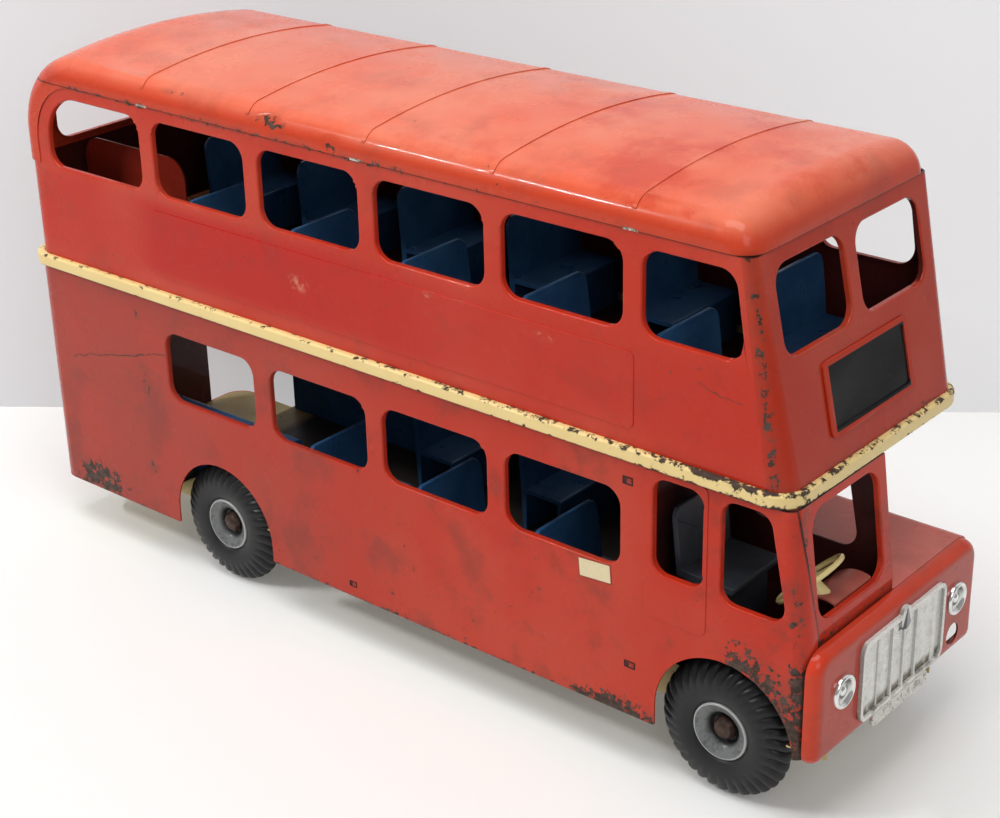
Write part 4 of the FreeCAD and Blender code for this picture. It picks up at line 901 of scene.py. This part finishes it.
def tab_slot(name, x, z, width, height):
    """Slot in the side with the bent end of an inner tab showing in it."""
    slot = box_start((width, 0.5 * MM, height), (x, CAB_Y - 0.02 * MM, z))
    rounded(slot, 0.22 * MM)
    choose(slot, "polygons", lambda p: p.normal.y < -0.9)
    bpy.ops.mesh.inset(thickness=0.35 * MM, depth=0.0)
    bpy.ops.mesh.extrude_region_move(TRANSFORM_OT_translate={"value": (0, 0.2 * MM, 0)})
    close()
    finished(slot, name + "_slot", "bus_body", inner_red)
    size = (0.45 * width, 0.35 * MM, 0.62 * height)
    tab = box_start(size, (x + 0.18 * width, CAB_Y - 0.18 * MM, z + 0.04 * height))
    rounded(tab, 0.15 * MM)
    finished(tab, name + "_tab", "bus_body", small_red)


def seam_tabs():
    """Three tabs of the side, folded over the lower edge of the roof."""
    form = box_start((9.0 * MM, 0.7 * MM, 1.5 * MM), (0, 0, 0))
    rounded(form, 0.25 * MM)
    for index, x in enumerate(SEAM_TAB_X):
        tab = again(form, (x, CAB_Y - 0.35 * MM, SEAM_Z + 0.4 * MM))
        finished(tab, "seam_tab_%d" % index, "bus_body", tinplate)
    bpy.data.objects.remove(form)


# Sheet, and the width of its rolled edges in millimetres.
SHEETS = (("lower_side_right", 1.1), ("lower_side_left", 1.1), ("upper_side_right", 1.1),
          ("upper_side_left", 1.1), ("upper_front", 1.0), ("upper_rear", 0.6), ("roof", 0.5),
          ("lower_rear_panel", 0.9), ("cab_front", 0.9), ("nose_panel", 0.6), ("bonnet", 0.5))
# Slot, x and z of its middle, width and height.
TAB_SLOTS = (("sill", -0.0213, SILL_Z + 8.4 * MM, 5.6 * MM, 3.8 * MM),
             ("cab", 0.1765, SILL_Z + 30.6 * MM, 7.0 * MM, 4.2 * MM),
             ("waist", 0.1745, BAND_LOW - 11.8 * MM, 6.4 * MM, 4.6 * MM))
SEAM_TAB_X = (-0.1685, -0.0006, 0.1754)

for node, width in SHEETS:
    pressing(node, width * MM)
# The seats' rolled edges take the pale edge paint: wear with a painted highlight.
for node in sorted(nodes):
    if "_seat_" in node or node.startswith("bench"):
        pressing(node, 0.4 * MM, 1.0 * MM, seat_edge_wear_and_highlight)
pressing("driver_seat", 0.4 * MM, 1.0 * MM)
pressing("destination_box", 0.6 * MM, 1.2 * MM, cuts=((0, 1, 0), (0, 0, 1)))
pressing("grille", 0.3 * MM, 0.9 * MM)
pressing("number_plate", 0.6 * MM, 1.5 * MM)
wheels()
lamps()
label()
for row in TAB_SLOTS:
    tab_slot(*row)
seam_tabs()


# ---------------------------------------------------------------- room, light and camera
VIEW_AZIMUTH, VIEW_ELEVATION, VIEW_ROLL = 40.47, 24.91, -1.31
VIEW_TARGET = Vector((0.04478, -0.02359, 0.14896))
VIEW_DISTANCE = 1.10408
SENSOR, LENS = 36.0, 71.74          # millimetres
STAGE_SIZE = 8.0
WALL_BEHIND, WALL_TURN = 0.274, -3.9
PAPER_WHITE = (1.0, 0.995, 0.98, 1.0)


def pale(name, colour, seen, direction, one_sided=False):
    """A pale surface that camera, glossy and transmission rays see a little brighter than it is lit.

    What they see rises from seen[0] to seen[1] along a direction of the sheet. A one-sided sheet
    can't be seen from its back, so it never hides the bus.
    """
    f = Finish(name, roughness=0.7, specular=0.2)
    along = f.ramp(f.vector("DOT_PRODUCT", f.place, direction, "Value"), -0.32, 0.36, *seen)
    path = f.nodes.new("ShaderNodeLightPath").outputs
    seen_by = f.most(path["Is Camera Ray"], path["Is Glossy Ray"], path["Is Transmission Ray"])
    f.shader.inputs["Emission Color"].default_value = PAPER_WHITE
    f.links.new(f.both(along, seen_by), f.shader.inputs["Emission Strength"])
    material = f.done(colour)
    if one_sided:
        clear = f.nodes.new("ShaderNodeBsdfTransparent")
        either = f.nodes.new("ShaderNodeMixShader")
        from_back = f.nodes.new("ShaderNodeNewGeometry").outputs["Backfacing"]
        output = next(n for n in f.nodes if n.type == "OUTPUT_MATERIAL")
        f.links.new(from_back, either.inputs[0])
        f.links.new(f.shader.outputs["BSDF"], either.inputs[1])
        f.links.new(clear.outputs["BSDF"], either.inputs[2])
        f.links.new(either.outputs["Shader"], output.inputs["Surface"])
    return material


def flat_sheet(name, place, turn, material):
    bpy.ops.object.select_all(action="DESELECT")
    bpy.ops.mesh.primitive_plane_add(size=STAGE_SIZE)
    sheet = bpy.context.object
    sheet.name = name
    sheet.matrix_world = Matrix.Translation(place) @ turn
    sheet.data.materials.append(material)


def room():
    """Nearly white floor, and a grey-white wall behind the bus that stands a little askew."""
    across = Matrix.Rotation(math.radians(VIEW_AZIMUTH), 4, "Z")
    floor = pale("pale_floor", (0.82, 0.82, 0.80), (0.03, 0.27), (0.6, 0.8, 0.0))
    flat_sheet("floor", Vector((0, 0, 0)), across, floor)
    turned = Matrix.Rotation(math.radians(WALL_TURN), 4, "Z")
    upright = across @ turned @ Matrix.Rotation(math.radians(90), 4, "X")
    wall = pale("pale_wall", (0.60, 0.605, 0.625), (0.17, 0.31), (1.0, 0.0, 0.0), one_sided=True)
    flat_sheet("backdrop", across @ Vector((0, WALL_BEHIND, 0)), upright, wall)


def area_light(name, place, aim, size, power):
    data = bpy.data.lights.new(name, "AREA")
    data.shape = "RECTANGLE"
    data.size, data.size_y = size
    data.energy = power
    lamp = bpy.data.objects.new(name, data)
    bpy.context.scene.collection.objects.link(lamp)
    lamp.location = place
    lamp.rotation_euler = (Vector(aim) - Vector(place)).to_track_quat("-Z", "Y").to_euler()


def lights():
    """A wide lamp overhead, a long thin one for the paint's highlights, and a weak one at the front."""
    world = bpy.data.worlds.new("soft_room")
    bpy.context.scene.world = world
    world.use_nodes = True
    sky = world.node_tree.nodes["Background"].inputs
    sky["Color"].default_value = (1.0, 1.0, 1.0, 1.0)
    sky["Strength"].default_value = 0.34
    area_light("overhead", (0.10, -0.35, 1.5), (0.0, 0.0, 0.1), (1.2, 0.7), 12.6)
    area_light("window", (-0.85, -0.98, 1.12), (0.0, 0.0, 0.2), (0.36, 0.014), 8.5)
    area_light("front_fill", (1.1, -0.7, 0.9), (0.2, 0.0, 0.1), (0.6, 0.6), 3.2)


def camera():
    azimuth, elevation = math.radians(VIEW_AZIMUTH), math.radians(VIEW_ELEVATION)
    back = Vector((math.sin(azimuth) * math.cos(elevation), -math.cos(azimuth) * math.cos(elevation),
                   math.sin(elevation)))
    data = bpy.data.cameras.new("view")
    data.sensor_width = SENSOR
    data.lens = LENS
    view = bpy.data.objects.new("view", data)
    bpy.context.scene.collection.objects.link(view)
    turn = back.to_track_quat("Z", "Y").to_matrix().to_4x4()
    roll = Matrix.Rotation(math.radians(VIEW_ROLL), 4, "Z")
    view.matrix_world = Matrix.Translation(VIEW_TARGET + back * VIEW_DISTANCE) @ turn @ roll
    bpy.context.scene.camera = view


room()
lights()
camera()
bpy.context.scene.view_settings.view_transform = "Standard"
